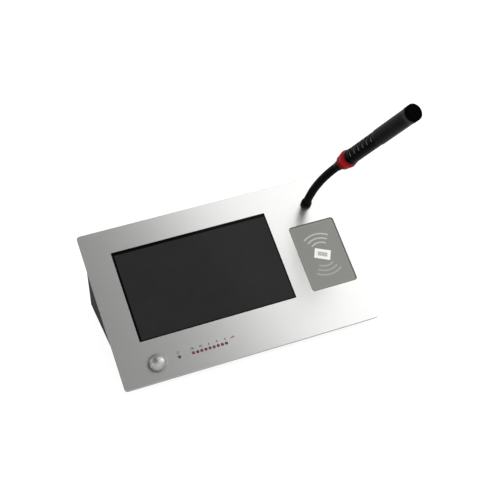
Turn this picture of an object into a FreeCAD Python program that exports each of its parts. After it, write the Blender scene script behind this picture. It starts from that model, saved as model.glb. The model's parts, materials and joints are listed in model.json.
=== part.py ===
import FreeCAD, Part
import math
import os
from FreeCAD import Placement, Rotation, Vector

# A paging microphone: a wedge-shaped desk console with a touch screen, a card reading zone,
# a knob, lamps and a microphone on a gooseneck.
# Millimetres, +X to the user's right, +Y away from the user, +Z up. The origin is on the table,
# under the middle of the front foot strip.
# Pieces on the tilted panel are drawn in the panel's frame: x as above, y up the slope from the
# panel's front edge, z out of its underside. Pieces on the leaning rear wall are drawn in the
# wall's frame: x to the right as seen from behind, y up the wall, z out of its outer face.

# Console outline
PANEL_WIDTH = 251.0
PANEL_DEPTH = 157.5
PANEL_THICKNESS = 2.0
PANEL_CORNER_RADIUS = 3.0
PANEL_EDGE_BREAK = 0.4
PANEL_TILT = 36.5
REAR_LEAN = 17.0
NOSE_HEIGHT = 3.1
FRONT_WALL_TO_ORIGIN = 14.0
SIDE_OVERHANG = 5.4
FRONT_OVERHANG = 5.0
REAR_OVERHANG = 2.0
CASE_SHEET = 1.2
BASE_SHEET = 1.2
FLANGE_WIDTH = 11.0
FOLD_RADIUS = 1.5
SLIP = 0.3

# Foot strips
FOOT_HEIGHT = 5.0
FOOT_WIDTH = 10.0
FOOT_LENGTH = 190.0
FOOT_INSET = 14.0
FOOT_EDGE_RADIUS = 1.0

# Fasteners: every stud, nut and screw is M3
THREAD_RADIUS = 1.5
CLEARANCE_HOLE_RADIUS = 1.7
NUT_ACROSS = 5.5
NUT_HEIGHT = 2.4
STUD_END = 1.0
SCREW_LENGTH = 6.0
PAN_HEAD_RADIUS = 2.8
PAN_HEAD_HEIGHT = 2.0
SUNK_HEAD_RADIUS = 2.7
RECESS_REACH = 1.6
RECESS_WIDTH = 0.6
RECESS_DEPTH = 1.0

# Screen, in a window of the panel
SCREEN_FROM_LEFT = 26.2
SCREEN_FROM_RIGHT = 69.8
SCREEN_FROM_FRONT = 40.9
SCREEN_FROM_BACK = 24.7
SCREEN_CORNER_RADIUS = 0.8
SCREEN_RECESS = 0.4
DISPLAY_SIDE_LAP = 5.0
DISPLAY_END_LAP = 4.0
DISPLAY_HEIGHT = 5.7
SCREEN_FRAME_THICKNESS = 0.5
SCREEN_FRAME_LAP = 2.0
BRACKET_SHEET = 0.8
BRACKET_RAIL = 12.0
BRACKET_EAR_INSET = 17.5
BRACKET_EAR_WIDTH = 10.0
BRACKET_EAR_REACH = 3.4

# Card reading zone
CARD_WIDTH = 46.9
CARD_FROM_RIGHT = 5.6
CARD_FROM_FRONT = 41.6
CARD_FROM_BACK = 46.9
CARD_CORNER_RADIUS = 3.0
CARD_POCKET_DEPTH = 1.4
CARD_GAP = 0.3
CARD_RECESS = 0.8
CARD_EDGE_BREAK = 0.25
READER_OPENING_WIDTH = 30.0
READER_OPENING_INSET = 7.0
READER_OPENING_TO_FLANGE = 3.1
READER_BOARD_LAP = 2.5
READER_BOARD_THICKNESS = 1.0
COIL_LOOPS = 5
COIL_TRACK = 0.8
COIL_PITCH = 1.7
COIL_THICKNESS = 0.1

# Knob on a turning and pressing encoder
CONTROL_FROM_FRONT = 17.2
KNOB_FROM_LEFT = 34.9
KNOB_RADIUS = 7.6
KNOB_SKIRT = 1.2
KNOB_DOME_HEIGHT = 6.4
KNOB_HOLLOW_RADIUS = 6.2
KNOB_TRAVEL = 0.5
BEZEL_RADIUS = 9.7
BEZEL_THICKNESS = 0.6
ENCODER_SIDE = 12.0
ENCODER_DEPTH = 5.2
ENCODER_CHAMBER_RADIUS = 4.8
ENCODER_FLOOR = 0.6
BUSH_RADIUS = 3.5
BUSH_LENGTH = 4.5
BUSH_NUT_ACROSS = 10.0
BUSH_NUT_HEIGHT = 2.0
SHAFT_RADIUS = 3.0
SHAFT_TAIL_RADIUS = 2.0
SHAFT_FLAT = 1.3
SHAFT_FIT = 0.05
ROTOR_THICKNESS = 1.8

# Lamps and their board
LAMP_RADIUS = 1.3
LAMP_HOLE_RADIUS = 1.45
LAMP_PROUD = 0.3
POWER_LAMP_FROM_LEFT = 56.6
LEVEL_LAMP_FROM_LEFT = 70.1
LEVEL_LAMP_PITCH = 4.0
LEVEL_LAMPS = 9
LAMP_BOARD_GAP = 1.9
LAMP_BOARD_THICKNESS = 0.8
LAMP_BOARD_DEPTH = 8.0
LAMP_STUD_OFFSET = 6.0
LAMP_SHOULDER_RADIUS = 2.5

# Main board on the base
BOARD_WIDTH = 140.0
BOARD_THICKNESS = 1.6
BOARD_X = -20.0
BOARD_FRONT_Y = 28.0
BOARD_TO_REAR = 31.3
BOARD_HOLE_INSET = 5.0
PROCESSOR_SIDE = 19.0
PROCESSOR_HEIGHT = 1.8
MEMORY_WIDTH = 9.0
MEMORY_DEPTH = 11.0
MEMORY_HEIGHT = 1.1
MEMORY_GAP = 3.0
MEMORIES = 4
NETWORK_CHIP_SIDE = 12.0
NETWORK_CHIP_HEIGHT = 1.4
AMPLIFIER_WIDTH = 14.0
AMPLIFIER_DEPTH = 10.0
AMPLIFIER_HEIGHT = 2.2
CAPACITOR_RADIUS = 3.8
CAPACITOR_HEIGHT = 9.0
CAPACITOR_GAP = 1.0
CAPACITORS = 5
HEADER_INSET = 8.0
HEADER_HEIGHT = 6.0
HEADER_DEPTH = 5.0
LAMP_HEADER_WIDTH = 16.0
LEAD_HEADER_WIDTH = 10.0
LEAD_HEADER_INSET = 15.0
RIBBON_WIDTH = 22.0
RIBBON_THICKNESS = 0.3
RIBBON_START = 14.0
STANDOFF_ACROSS = 5.5
STANDOFF_HEIGHT = 6.0

# Rear wall: connector board, sockets, switch, loudspeaker and vents
CONNECTOR_HEIGHT = 21.0
CONNECTOR_DEPTH = 14.0
CONNECTOR_BOARD_X = 12.0
CONNECTOR_BOARD_WIDTH = 92.0
CONNECTOR_BOARD_DEPTH = 26.0
NETWORK_X = -12.0
NETWORK_WIRES = 8
NETWORK_WIRE_PITCH = 1.02
NETWORK_WIRE_WIDTH = 0.45
NETWORK_WIRE_DROP = 0.8
NETWORK_WIRE_LENGTH = 8.5
NETWORK_WIDTH = 16.0
NETWORK_HEIGHT = 13.6
NETWORK_PROUD = 0.4
PLUG_WIDTH = 11.9
PLUG_HEIGHT = 7.0
PLUG_DEPTH = 12.0
LATCH_WIDTH = 6.2
LATCH_HEIGHT = 1.8
JACK_XS = (18.0, 36.0)
JACK_SIDE = 10.0
JACK_BUSH_RADIUS = 3.2
JACK_BUSH_PROUD = 1.2
JACK_BORE_RADIUS = 1.8
JACK_BORE_LENGTH = 13.0
INLET_FROM_END = 58.0
INLET_BODY_RADIUS = 5.5
INLET_FLANGE_RADIUS = 7.5
INLET_FLANGE = 1.2
INLET_DEPTH = 13.0
INLET_BORE_RADIUS = 2.95
INLET_BORE_DEPTH = 10.0
INLET_PIN_RADIUS = 1.05
INLET_PIN_RECESS = 0.8
SWITCH_FROM_END = 25.0
SWITCH_LENGTH = 21.0
SWITCH_HEIGHT = 15.0
SWITCH_BEZEL = 1.5
SWITCH_BODY_LENGTH = 18.8
SWITCH_BODY_HEIGHT = 12.6
SWITCH_BODY_DEPTH = 13.0
ROCKER_RADIUS = 8.3
ROCKER_WIDTH = 9.4
ROCKER_THROW = 16.0
ROCKER_WAIST = 2.4
ROCKER_UNDERSIDE = 2.0
ROCKER_PIN_RADIUS = 1.0
ROCKER_PIN_LENGTH = 0.8
SPEAKER_FROM_END = 42.0
SPEAKER_Y = 56.0
SPEAKER_RADIUS = 22.0
SPEAKER_DEPTH = 16.0
SPEAKER_LUG = 19.0
SPEAKER_RIM = 1.5
SPEAKER_SHELL = 2.0
CONE_THICKNESS = 0.6
SPEAKER_SLOTS = 7
VENT_FIRST_X = 12.0
VENT_PITCH = 8.0
VENT_SLOTS = 10
VENT_LENGTH = 26.0
VENT_Y = 60.0
SLOT_WIDTH = 2.8

# Gooseneck
NECK_FROM_RIGHT = 25.9
NECK_FROM_BACK = 26.8
NECK_RADIUS = 4.0
NECK_LENGTH = 82.8
NECK_JOINTS = 5
NECK_JOINT_GAP = 0.3
NECK_BEND = 17.8
NECK_BEND_DIRECTION = -35.9
COLLAR_RADIUS = 5.2
COLLAR_HEIGHT = 6.0
COLLAR_SHOULDER = 2.5
STEM_RADIUS = 3.9
STEM_LENGTH = 9.0
STEM_CLEARANCE = 0.2
NECK_NUT_ACROSS = 13.0
NECK_NUT_HEIGHT = 5.0
LEAD_RADIUS = 1.6
LEAD_BORE_RADIUS = 2.1
LEAD_DROP = 12.0
LEAD_RISE = 14.0

# Microphone head, along its own axis from the end of the gooseneck
FERRULE_LENGTH = 9.9
FERRULE_RADIUS = 5.4
SPIGOT_RADIUS = 4.8
RING_HEEL_RADIUS = 7.0
RING_HEEL_EDGE = 0.6
RING_RADIUS = 8.5
RING_LENGTH = 14.6
RING_LIP = 5.0
RING_LAMP_THICKNESS = 0.6
BARREL_RADIUS = 6.95
BARREL_WALL = 0.8
BARREL_LENGTH = 47.5
BARREL_FOOT_LENGTH = 2.0
BARREL_FOOT_STEP = 0.4
BARREL_PLUG = 4.0
SLOT_FIRST = 7.3
SLOT_PITCH = 7.0
BARREL_SLOTS = 6
BARREL_SLOT_WIDTH = 2.4
SLOT_CHORD = 5.2
SLOT_DIRECTION = 170.0
GRILLE_RADIUS = 7.35
GRILLE_WALL = 0.8
GRILLE_LENGTH = 47.3
JOIN_LENGTH = 5.0
CAP_RADIUS = 7.6
CAP_LENGTH = 7.7
CAP_EDGE_RADIUS = 0.8
CAP_DISH = 0.6
LINER_WALL = 0.5
PREAMP_LENGTH = 30.0
PREAMP_WIDTH = 9.0
PREAMP_THICKNESS = 1.0
CAPSULE_RADIUS = 4.85
CAPSULE_LENGTH = 6.5
HOLDER_FLOOR = 3.0
HOLDER_LENGTH = 14.0

# Directions and corners worked out from the outline
ALONG = Vector(0, 1, 0)
UP = Vector(0, 0, 1)
TILT = math.radians(PANEL_TILT)
LEAN = math.radians(REAR_LEAN)
SLOPE = Vector(0, math.cos(TILT), math.sin(TILT))
PANEL_OUT = Vector(0, -math.sin(TILT), math.cos(TILT))
REAR_UP = Vector(0, -math.sin(LEAN), math.cos(LEAN))
REAR_OUT = Vector(0, math.cos(LEAN), math.sin(LEAN))
CASE_WIDTH = PANEL_WIDTH - 2 * SIDE_OVERHANG
SCREEN_WIDTH = PANEL_WIDTH - SCREEN_FROM_LEFT - SCREEN_FROM_RIGHT
SCREEN_DEPTH = PANEL_DEPTH - SCREEN_FROM_FRONT - SCREEN_FROM_BACK
DISPLAY_WIDTH = SCREEN_WIDTH + 2 * DISPLAY_SIDE_LAP
DISPLAY_DEPTH = SCREEN_DEPTH + 2 * DISPLAY_END_LAP
CARD_DEPTH = PANEL_DEPTH - CARD_FROM_FRONT - CARD_FROM_BACK
READER_OPENING_DEPTH = CARD_DEPTH - 2 * READER_OPENING_INSET
NOSE_TOP = Vector(0, -FRONT_WALL_TO_ORIGIN, FOOT_HEIGHT + NOSE_HEIGHT)
REAR_TOP = NOSE_TOP + SLOPE * (PANEL_DEPTH - FRONT_OVERHANG - REAR_OVERHANG)
REAR_BOTTOM = Vector(0, REAR_TOP.y + (REAR_TOP.z - FOOT_HEIGHT) * math.tan(LEAN), FOOT_HEIGHT)
PANEL_FRAME = Placement(NOSE_TOP - SLOPE * FRONT_OVERHANG, Rotation(Vector(1, 0, 0), PANEL_TILT))
REAR_FRAME = Placement(REAR_BOTTOM, Rotation(Vector(-1, 0, 0), REAR_UP, REAR_OUT, "ZXY"))
BEYOND = 20.0


def placed(shape, frame):
    """A copy of a shape drawn in a frame, put where the frame is."""
    copy = shape.copy()
    copy.Placement = frame.multiply(copy.Placement)
    return copy


def box(x0, x1, y0, y1, z0, z1):
    return Part.makeBox(x1 - x0, y1 - y0, z1 - z0, Vector(x0, y0, z0))


def block(x, y, width, depth, z0, z1):
    """A box centred on x and y."""
    return box(x - width / 2, x + width / 2, y - depth / 2, y + depth / 2, z0, z1)


def disc(x, y, radius, z0, z1):
    return Part.makeCylinder(radius, z1 - z0, Vector(x, y, z0))


def rounded(x, y, width, depth, radius, z0, z1):
    """A block with rounded upright edges."""
    body = block(x, y, width, depth, z0, z1)
    upright = [e for e in body.Edges if abs(e.tangentAt(e.FirstParameter).z) > 0.99]
    return body.makeFillet(radius, upright)


def slot(x, y, length, width, z0, z1, upright=False):
    """A straight slot with round ends, along x or, when upright, along y."""
    size = (width, length) if upright else (length, width)
    return rounded(x, y, size[0], size[1], width / 2 - 0.01, z0, z1)


def hexagon(x, y, across, z0, z1):
    radius = across / math.sqrt(3)
    points = [
        Vector(x + radius * math.cos(math.radians(a)), y + radius * math.sin(math.radians(a)), z0)
        for a in range(0, 361, 60)
    ]
    return Part.Face(Part.makePolygon(points)).extrude(Vector(0, 0, z1 - z0))


def turned(profile):
    """A solid of revolution about z from (radius, z) corners."""
    points = [Vector(r, 0, z) for r, z in profile]
    return Part.Face(Part.makePolygon(points + points[:1])).revolve(Vector(), UP, 360)


def tube(outer, inner, z0, z1):
    return disc(0, 0, outer, z0, z1).cut(disc(0, 0, inner, z0, z1))


def top_edges(shape, z):
    """The edges that lie at the height z all along."""
    return [e for e in shape.Edges if e.BoundBox.ZMin > z - 1e-4 and e.BoundBox.ZMax < z + 1e-4]


def corner(p, along_p, q, along_q):
    """Where two lines in the YZ plane cross."""
    cross = along_p.y * along_q.z - along_p.z * along_q.y
    gap = q - p
    return p + along_p * ((gap.y * along_q.z - gap.z * along_q.y) / cross)


def wedge(side, front, top, rear, bottom):
    """The case's wedge with each of its faces moved inwards by its own amount."""
    floor = Vector(0, 0, FOOT_HEIGHT + bottom)
    roof = NOSE_TOP - PANEL_OUT * top
    wall = Vector(0, front - FRONT_WALL_TO_ORIGIN, 0)
    back = REAR_BOTTOM - REAR_OUT * rear
    points = [corner(roof, SLOPE, back, REAR_UP), corner(back, REAR_UP, floor, ALONG)]
    tip = corner(floor, ALONG, roof, SLOPE)
    if tip.y > wall.y:
        points.append(tip)
    else:
        points.append(corner(floor, ALONG, wall, UP))
        points.append(corner(wall, UP, roof, SLOPE))
    shift = Vector(side - CASE_WIDTH / 2, 0, 0)
    outline = Part.makePolygon([p + shift for p in points + points[:1]])
    return Part.Face(outline).extrude(Vector(CASE_WIDTH - 2 * side, 0, 0))


def layer(shape, z0, z1):
    """The part of a shape between two heights."""
    bounds = shape.BoundBox
    slab = box(bounds.XMin - 1, bounds.XMax + 1, bounds.YMin - 1, bounds.YMax + 1, z0, z1)
    return shape.common(slab)


def lead(points, radius):
    """A round lead along straight runs joined by tangent arcs."""
    edges = []
    start = points[0]
    for before, at, after in zip(points, points[1:], points[2:]):
        into = (at - before).normalize()
        out = (after - at).normalize()
        half_turn = into.getAngle(out) / 2
        trim = 0.45 * min(at.distanceToPoint(before), at.distanceToPoint(after))
        sagitta = trim / math.tan(half_turn) * (1 / math.cos(half_turn) - 1)
        first = at - into * trim
        last = at + out * trim
        middle = at + (out - into).normalize() * sagitta
        edges.append(Part.LineSegment(start, first).toShape())
        edges.append(Part.Arc(first, middle, last).toShape())
        start = last
    edges.append(Part.LineSegment(start, points[-1]).toShape())
    section = Part.Wire(Part.makeCircle(radius, points[0], points[1] - points[0]))
    return Part.Wire(edges).makePipeShell([section], True, False)


# Places on the panel, in its own frame
SCREEN_X = SCREEN_FROM_LEFT + SCREEN_WIDTH / 2 - PANEL_WIDTH / 2
SCREEN_Y = SCREEN_FROM_FRONT + SCREEN_DEPTH / 2
CARD_X = PANEL_WIDTH / 2 - CARD_FROM_RIGHT - CARD_WIDTH / 2
CARD_Y = CARD_FROM_FRONT + CARD_DEPTH / 2
READER_X = CASE_WIDTH / 2 - FLANGE_WIDTH - READER_OPENING_TO_FLANGE - READER_OPENING_WIDTH / 2
KNOB_X = KNOB_FROM_LEFT - PANEL_WIDTH / 2
POWER_LAMP_X = POWER_LAMP_FROM_LEFT - PANEL_WIDTH / 2
LEVEL_LAMP_XS = [
    LEVEL_LAMP_FROM_LEFT - PANEL_WIDTH / 2 + LEVEL_LAMP_PITCH * i for i in range(LEVEL_LAMPS)
]
NECK_X = PANEL_WIDTH / 2 - NECK_FROM_RIGHT
NECK_Y = PANEL_DEPTH - NECK_FROM_BACK
BRACKET_BACK_Z = -SCREEN_FRAME_THICKNESS - DISPLAY_HEIGHT - BRACKET_SHEET
BRACKET_STUDS = [
    (
        SCREEN_X + sx * (SCREEN_WIDTH / 2 - BRACKET_EAR_INSET),
        SCREEN_Y + sy * (DISPLAY_DEPTH / 2 + BRACKET_EAR_REACH),
    )
    for sx in (-1, 1)
    for sy in (-1, 1)
]
LAMP_BOARD_X0 = POWER_LAMP_X - LAMP_RADIUS - LAMP_STUD_OFFSET + SLIP
LAMP_BOARD_X1 = LEVEL_LAMP_XS[-1] + LAMP_STUD_OFFSET + LAMP_SHOULDER_RADIUS
LAMP_STUDS = [
    ((POWER_LAMP_X + LEVEL_LAMP_XS[0]) / 2, CONTROL_FROM_FRONT),
    (LEVEL_LAMP_XS[-1] + LAMP_STUD_OFFSET, CONTROL_FROM_FRONT),
]
FLANGE_MIDDLE = (CASE_SHEET + FLANGE_WIDTH) / 2
REAR_ANGLE = TILT + math.pi / 2 - LEAN
FLANGE_STUDS = [
    (side * (CASE_WIDTH / 2 - FLANGE_MIDDLE), FRONT_OVERHANG + share * (PANEL_DEPTH - FRONT_OVERHANG))
    for side in (-1, 1)
    for share in (0.16, 0.53, 0.86)
] + [
    (side * CASE_WIDTH / 5, PANEL_DEPTH - REAR_OVERHANG - FLANGE_MIDDLE / math.sin(REAR_ANGLE))
    for side in (-1, 1)
]


def front_panel():
    """The aluminium plate with its window, card pocket and holes."""
    thick = PANEL_THICKNESS
    plate = rounded(0, PANEL_DEPTH / 2, PANEL_WIDTH, PANEL_DEPTH, PANEL_CORNER_RADIUS, 0, thick)
    plate = plate.makeFillet(PANEL_EDGE_BREAK, top_edges(plate, thick))
    window = rounded(SCREEN_X, SCREEN_Y, SCREEN_WIDTH, SCREEN_DEPTH, SCREEN_CORNER_RADIUS, 0, thick)
    pocket = rounded(
        CARD_X, CARD_Y, CARD_WIDTH, CARD_DEPTH, CARD_CORNER_RADIUS, thick - CARD_POCKET_DEPTH, thick
    )
    reader = block(READER_X, CARD_Y, READER_OPENING_WIDTH, READER_OPENING_DEPTH, 0, thick)
    holes = [disc(KNOB_X, CONTROL_FROM_FRONT, BUSH_RADIUS + SLIP / 2, 0, thick)]
    holes.append(disc(NECK_X, NECK_Y, STEM_RADIUS + STEM_CLEARANCE, 0, thick))
    for x in [POWER_LAMP_X] + LEVEL_LAMP_XS:
        holes.append(disc(x, CONTROL_FROM_FRONT, LAMP_HOLE_RADIUS, 0, thick))
    return plate.cut([window, pocket, reader] + holes)


def stud(x, y, depth):
    return disc(x, y, THREAD_RADIUS, -depth, 0)


def nut(x, y, z):
    """An M3 nut whose upper face is at z."""
    body = hexagon(x, y, NUT_ACROSS, z - NUT_HEIGHT, z)
    return body.cut(disc(x, y, THREAD_RADIUS, z - NUT_HEIGHT, z))


def panel_studs():
    """Studs welded to the panel's underside for the flange, the bracket and the lamp board."""
    studs = [stud(x, y, CASE_SHEET + NUT_HEIGHT + STUD_END) for x, y in FLANGE_STUDS]
    studs += [stud(x, y, -BRACKET_BACK_Z + NUT_HEIGHT + STUD_END) for x, y in BRACKET_STUDS]
    for x, y in LAMP_STUDS:
        shank = stud(x, y, LAMP_BOARD_GAP + LAMP_BOARD_THICKNESS + NUT_HEIGHT + STUD_END)
        studs.append(shank.fuse(disc(x, y, LAMP_SHOULDER_RADIUS, -LAMP_BOARD_GAP, 0)).removeSplitter())
    return Part.makeCompound(studs)


def panel_nuts():
    nuts = [nut(x, y, -CASE_SHEET) for x, y in FLANGE_STUDS]
    nuts += [nut(x, y, BRACKET_BACK_Z) for x, y in BRACKET_STUDS]
    nuts += [nut(x, y, -LAMP_BOARD_GAP - LAMP_BOARD_THICKNESS) for x, y in LAMP_STUDS]
    return Part.makeCompound(nuts)


def screen_glass():
    """The touch glass, set into the window almost flush."""
    return rounded(
        SCREEN_X, SCREEN_Y, SCREEN_WIDTH - 2 * SLIP, SCREEN_DEPTH - 2 * SLIP, SCREEN_CORNER_RADIUS,
        0, PANEL_THICKNESS - SCREEN_RECESS,
    )


def screen_frame():
    """The adhesive frame that joins glass, panel and display."""
    outer = block(SCREEN_X, SCREEN_Y, DISPLAY_WIDTH, DISPLAY_DEPTH, -SCREEN_FRAME_THICKNESS, 0)
    inner = block(
        SCREEN_X, SCREEN_Y, SCREEN_WIDTH - 2 * SCREEN_FRAME_LAP, SCREEN_DEPTH - 2 * SCREEN_FRAME_LAP,
        -SCREEN_FRAME_THICKNESS, 0,
    )
    return outer.cut(inner)


def display_module():
    top = -SCREEN_FRAME_THICKNESS
    return rounded(SCREEN_X, SCREEN_Y, DISPLAY_WIDTH, DISPLAY_DEPTH, 1.0, top - DISPLAY_HEIGHT, top)


def display_bracket():
    """The open steel frame that clamps the display to four studs."""
    z0 = BRACKET_BACK_Z
    z1 = z0 + BRACKET_SHEET
    frame = block(SCREEN_X, SCREEN_Y, DISPLAY_WIDTH, DISPLAY_DEPTH, z0, z1)
    opening = block(
        SCREEN_X, SCREEN_Y, DISPLAY_WIDTH - 2 * BRACKET_RAIL, DISPLAY_DEPTH - 2 * BRACKET_RAIL, z0, z1
    )
    reach = DISPLAY_DEPTH + 2 * (BRACKET_EAR_REACH + NUT_ACROSS)
    for side in (-1, 1):
        x = SCREEN_X + side * (SCREEN_WIDTH / 2 - BRACKET_EAR_INSET)
        ear = rounded(x, SCREEN_Y, BRACKET_EAR_WIDTH, reach, BRACKET_EAR_WIDTH / 5, z0, z1)
        frame = frame.fuse(ear)
    holes = [disc(x, y, CLEARANCE_HOLE_RADIUS, z0, z1) for x, y in BRACKET_STUDS]
    return frame.cut([opening] + holes).removeSplitter()


def card_plate():
    """The grey inlay of the card reading zone, in the panel's pocket."""
    z0 = PANEL_THICKNESS - CARD_POCKET_DEPTH
    z1 = PANEL_THICKNESS - CARD_RECESS
    plate = rounded(
        CARD_X, CARD_Y, CARD_WIDTH - 2 * CARD_GAP, CARD_DEPTH - 2 * CARD_GAP,
        CARD_CORNER_RADIUS - CARD_GAP, z0, z1,
    )
    return plate.makeFillet(CARD_EDGE_BREAK, top_edges(plate, z1))


def reader_board():
    width = READER_OPENING_WIDTH + 2 * READER_BOARD_LAP
    depth = READER_OPENING_DEPTH + 2 * READER_BOARD_LAP
    return rounded(READER_X, CARD_Y, width, depth, 1.0, -READER_BOARD_THICKNESS, 0)


def reader_coil():
    """The copper loops on the reader board, inside the panel's opening."""
    loops = []
    for i in range(COIL_LOOPS):
        width = READER_OPENING_WIDTH - 2 * COIL_TRACK - 2 * COIL_PITCH * i
        depth = READER_OPENING_DEPTH - 2 * COIL_TRACK - 2 * COIL_PITCH * i
        outer = block(READER_X, CARD_Y, width, depth, 0, COIL_THICKNESS)
        inner = block(
            READER_X, CARD_Y, width - 2 * COIL_TRACK, depth - 2 * COIL_TRACK, 0, COIL_THICKNESS
        )
        loops.append(outer.cut(inner))
    return Part.makeCompound(loops)


def at_knob(shape):
    return placed(shape, Placement(Vector(KNOB_X, CONTROL_FROM_FRONT, 0), Rotation()))


CHAMBER_TOP = -ENCODER_FLOOR
CHAMBER_FLOOR = ENCODER_FLOOR - ENCODER_DEPTH
ROTOR_TOP = CHAMBER_TOP - SLIP
KNOB_BOTTOM = PANEL_THICKNESS + BEZEL_THICKNESS + KNOB_TRAVEL + SLIP
HOLLOW_TOP = PANEL_THICKNESS + BUSH_LENGTH + KNOB_TRAVEL + SLIP
KNOB_TOP = KNOB_BOTTOM + KNOB_SKIRT + KNOB_DOME_HEIGHT


def encoder_body():
    """The encoder's box with its rotor chamber and the threaded bush through the panel."""
    body = block(0, 0, ENCODER_SIDE, ENCODER_SIDE, -ENCODER_DEPTH, 0)
    bush = disc(0, 0, BUSH_RADIUS, 0, PANEL_THICKNESS + BUSH_LENGTH)
    chamber = disc(0, 0, ENCODER_CHAMBER_RADIUS, CHAMBER_FLOOR, CHAMBER_TOP)
    bore = disc(0, 0, SHAFT_RADIUS + SHAFT_FIT, CHAMBER_TOP, PANEL_THICKNESS + BUSH_LENGTH)
    return at_knob(body.fuse(bush).cut([chamber, bore]))


def shaft_tail(radius, flat, z0, z1):
    """A round tail with one flat."""
    return disc(0, 0, radius, z0, z1).cut(box(flat, radius + 1, -radius - 1, radius + 1, z0, z1))


def encoder_rotor():
    rotor = disc(0, 0, ENCODER_CHAMBER_RADIUS - SLIP, ROTOR_TOP - ROTOR_THICKNESS, ROTOR_TOP)
    hole = shaft_tail(
        SHAFT_TAIL_RADIUS + SHAFT_FIT, SHAFT_FLAT + SHAFT_FIT, ROTOR_TOP - ROTOR_THICKNESS, ROTOR_TOP
    )
    return at_knob(rotor.cut(hole))


def encoder_shaft():
    """The shaft: a journal in the bush and a flatted tail that slides through the rotor."""
    journal = disc(0, 0, SHAFT_RADIUS, ROTOR_TOP + KNOB_TRAVEL + SLIP, KNOB_TOP - KNOB_DOME_HEIGHT / 3)
    tail_end = CHAMBER_FLOOR + KNOB_TRAVEL + SLIP
    tail = shaft_tail(SHAFT_TAIL_RADIUS, SHAFT_FLAT, tail_end, ROTOR_TOP + KNOB_TRAVEL + SLIP)
    return at_knob(journal.fuse(tail))


def encoder_nut():
    z0 = PANEL_THICKNESS
    body = hexagon(0, 0, BUSH_NUT_ACROSS, z0, z0 + BUSH_NUT_HEIGHT)
    return at_knob(body.cut(disc(0, 0, BUSH_RADIUS, z0, z0 + BUSH_NUT_HEIGHT)))


def knob_bezel():
    ring = tube(BEZEL_RADIUS, KNOB_HOLLOW_RADIUS, PANEL_THICKNESS, PANEL_THICKNESS + BEZEL_THICKNESS)
    rims = top_edges(ring, PANEL_THICKNESS + BEZEL_THICKNESS)
    outer = [e for e in rims if e.Curve.Radius > KNOB_RADIUS]
    return at_knob(ring.makeChamfer(BEZEL_THICKNESS / 2, outer))


def knob():
    """The silver dome, hollow underneath for the nut and bush."""
    dome = Part.makeSphere(KNOB_RADIUS)
    squash = FreeCAD.Matrix()
    squash.scale(1, 1, KNOB_DOME_HEIGHT / KNOB_RADIUS)
    dome = dome.transformGeometry(squash)
    dome = placed(dome, Placement(Vector(0, 0, KNOB_BOTTOM + KNOB_SKIRT), Rotation()))
    dome = dome.cut(disc(0, 0, KNOB_RADIUS + 1, KNOB_BOTTOM - KNOB_RADIUS, KNOB_BOTTOM + KNOB_SKIRT))
    skirt = disc(0, 0, KNOB_RADIUS, KNOB_BOTTOM, KNOB_BOTTOM + KNOB_SKIRT)
    hollow = disc(0, 0, KNOB_HOLLOW_RADIUS, KNOB_BOTTOM, HOLLOW_TOP)
    socket = disc(0, 0, SHAFT_RADIUS, KNOB_BOTTOM, KNOB_TOP - KNOB_DOME_HEIGHT / 3)
    return at_knob(skirt.fuse(dome).cut([hollow, socket]))


def lamp(x):
    """One round lamp, from its board to just above the panel."""
    top = PANEL_THICKNESS + LAMP_PROUD - LAMP_RADIUS
    body = disc(x, CONTROL_FROM_FRONT, LAMP_RADIUS, -LAMP_BOARD_GAP, top)
    cap = Part.makeSphere(LAMP_RADIUS, Vector(x, CONTROL_FROM_FRONT, top))
    return body.fuse(cap).removeSplitter()


def power_lamp():
    return lamp(POWER_LAMP_X)


def level_lamps():
    return Part.makeCompound([lamp(x) for x in LEVEL_LAMP_XS])


def lamp_board():
    z1 = -LAMP_BOARD_GAP
    z0 = z1 - LAMP_BOARD_THICKNESS
    depth = LAMP_BOARD_DEPTH / 2
    board = box(
        LAMP_BOARD_X0, LAMP_BOARD_X1, CONTROL_FROM_FRONT - depth, CONTROL_FROM_FRONT + depth, z0, z1
    )
    return board.cut([disc(x, y, CLEARANCE_HOLE_RADIUS, z0, z1) for x, y in LAMP_STUDS])


# Places on the rear wall, in its own frame
INSIDE = -CASE_SHEET
INLET_X = INLET_FROM_END - CASE_WIDTH / 2
SWITCH_X = SWITCH_FROM_END - CASE_WIDTH / 2
SPEAKER_X = SPEAKER_FROM_END - CASE_WIDTH / 2
CONNECTOR_BOARD_Z = INSIDE - CONNECTOR_DEPTH
CONNECTOR_SCREWS = [
    (
        CONNECTOR_BOARD_X + sx * (CONNECTOR_BOARD_WIDTH / 2 - BOARD_HOLE_INSET),
        CONNECTOR_HEIGHT + sy * (CONNECTOR_BOARD_DEPTH / 2 - BOARD_HOLE_INSET),
    )
    for sx in (-1, 1)
    for sy in (-1, 1)
]
SPEAKER_SCREWS = [
    (SPEAKER_X + sx * SPEAKER_LUG, SPEAKER_Y + sy * SPEAKER_LUG) for sx in (-1, 1) for sy in (-1, 1)
]


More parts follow.
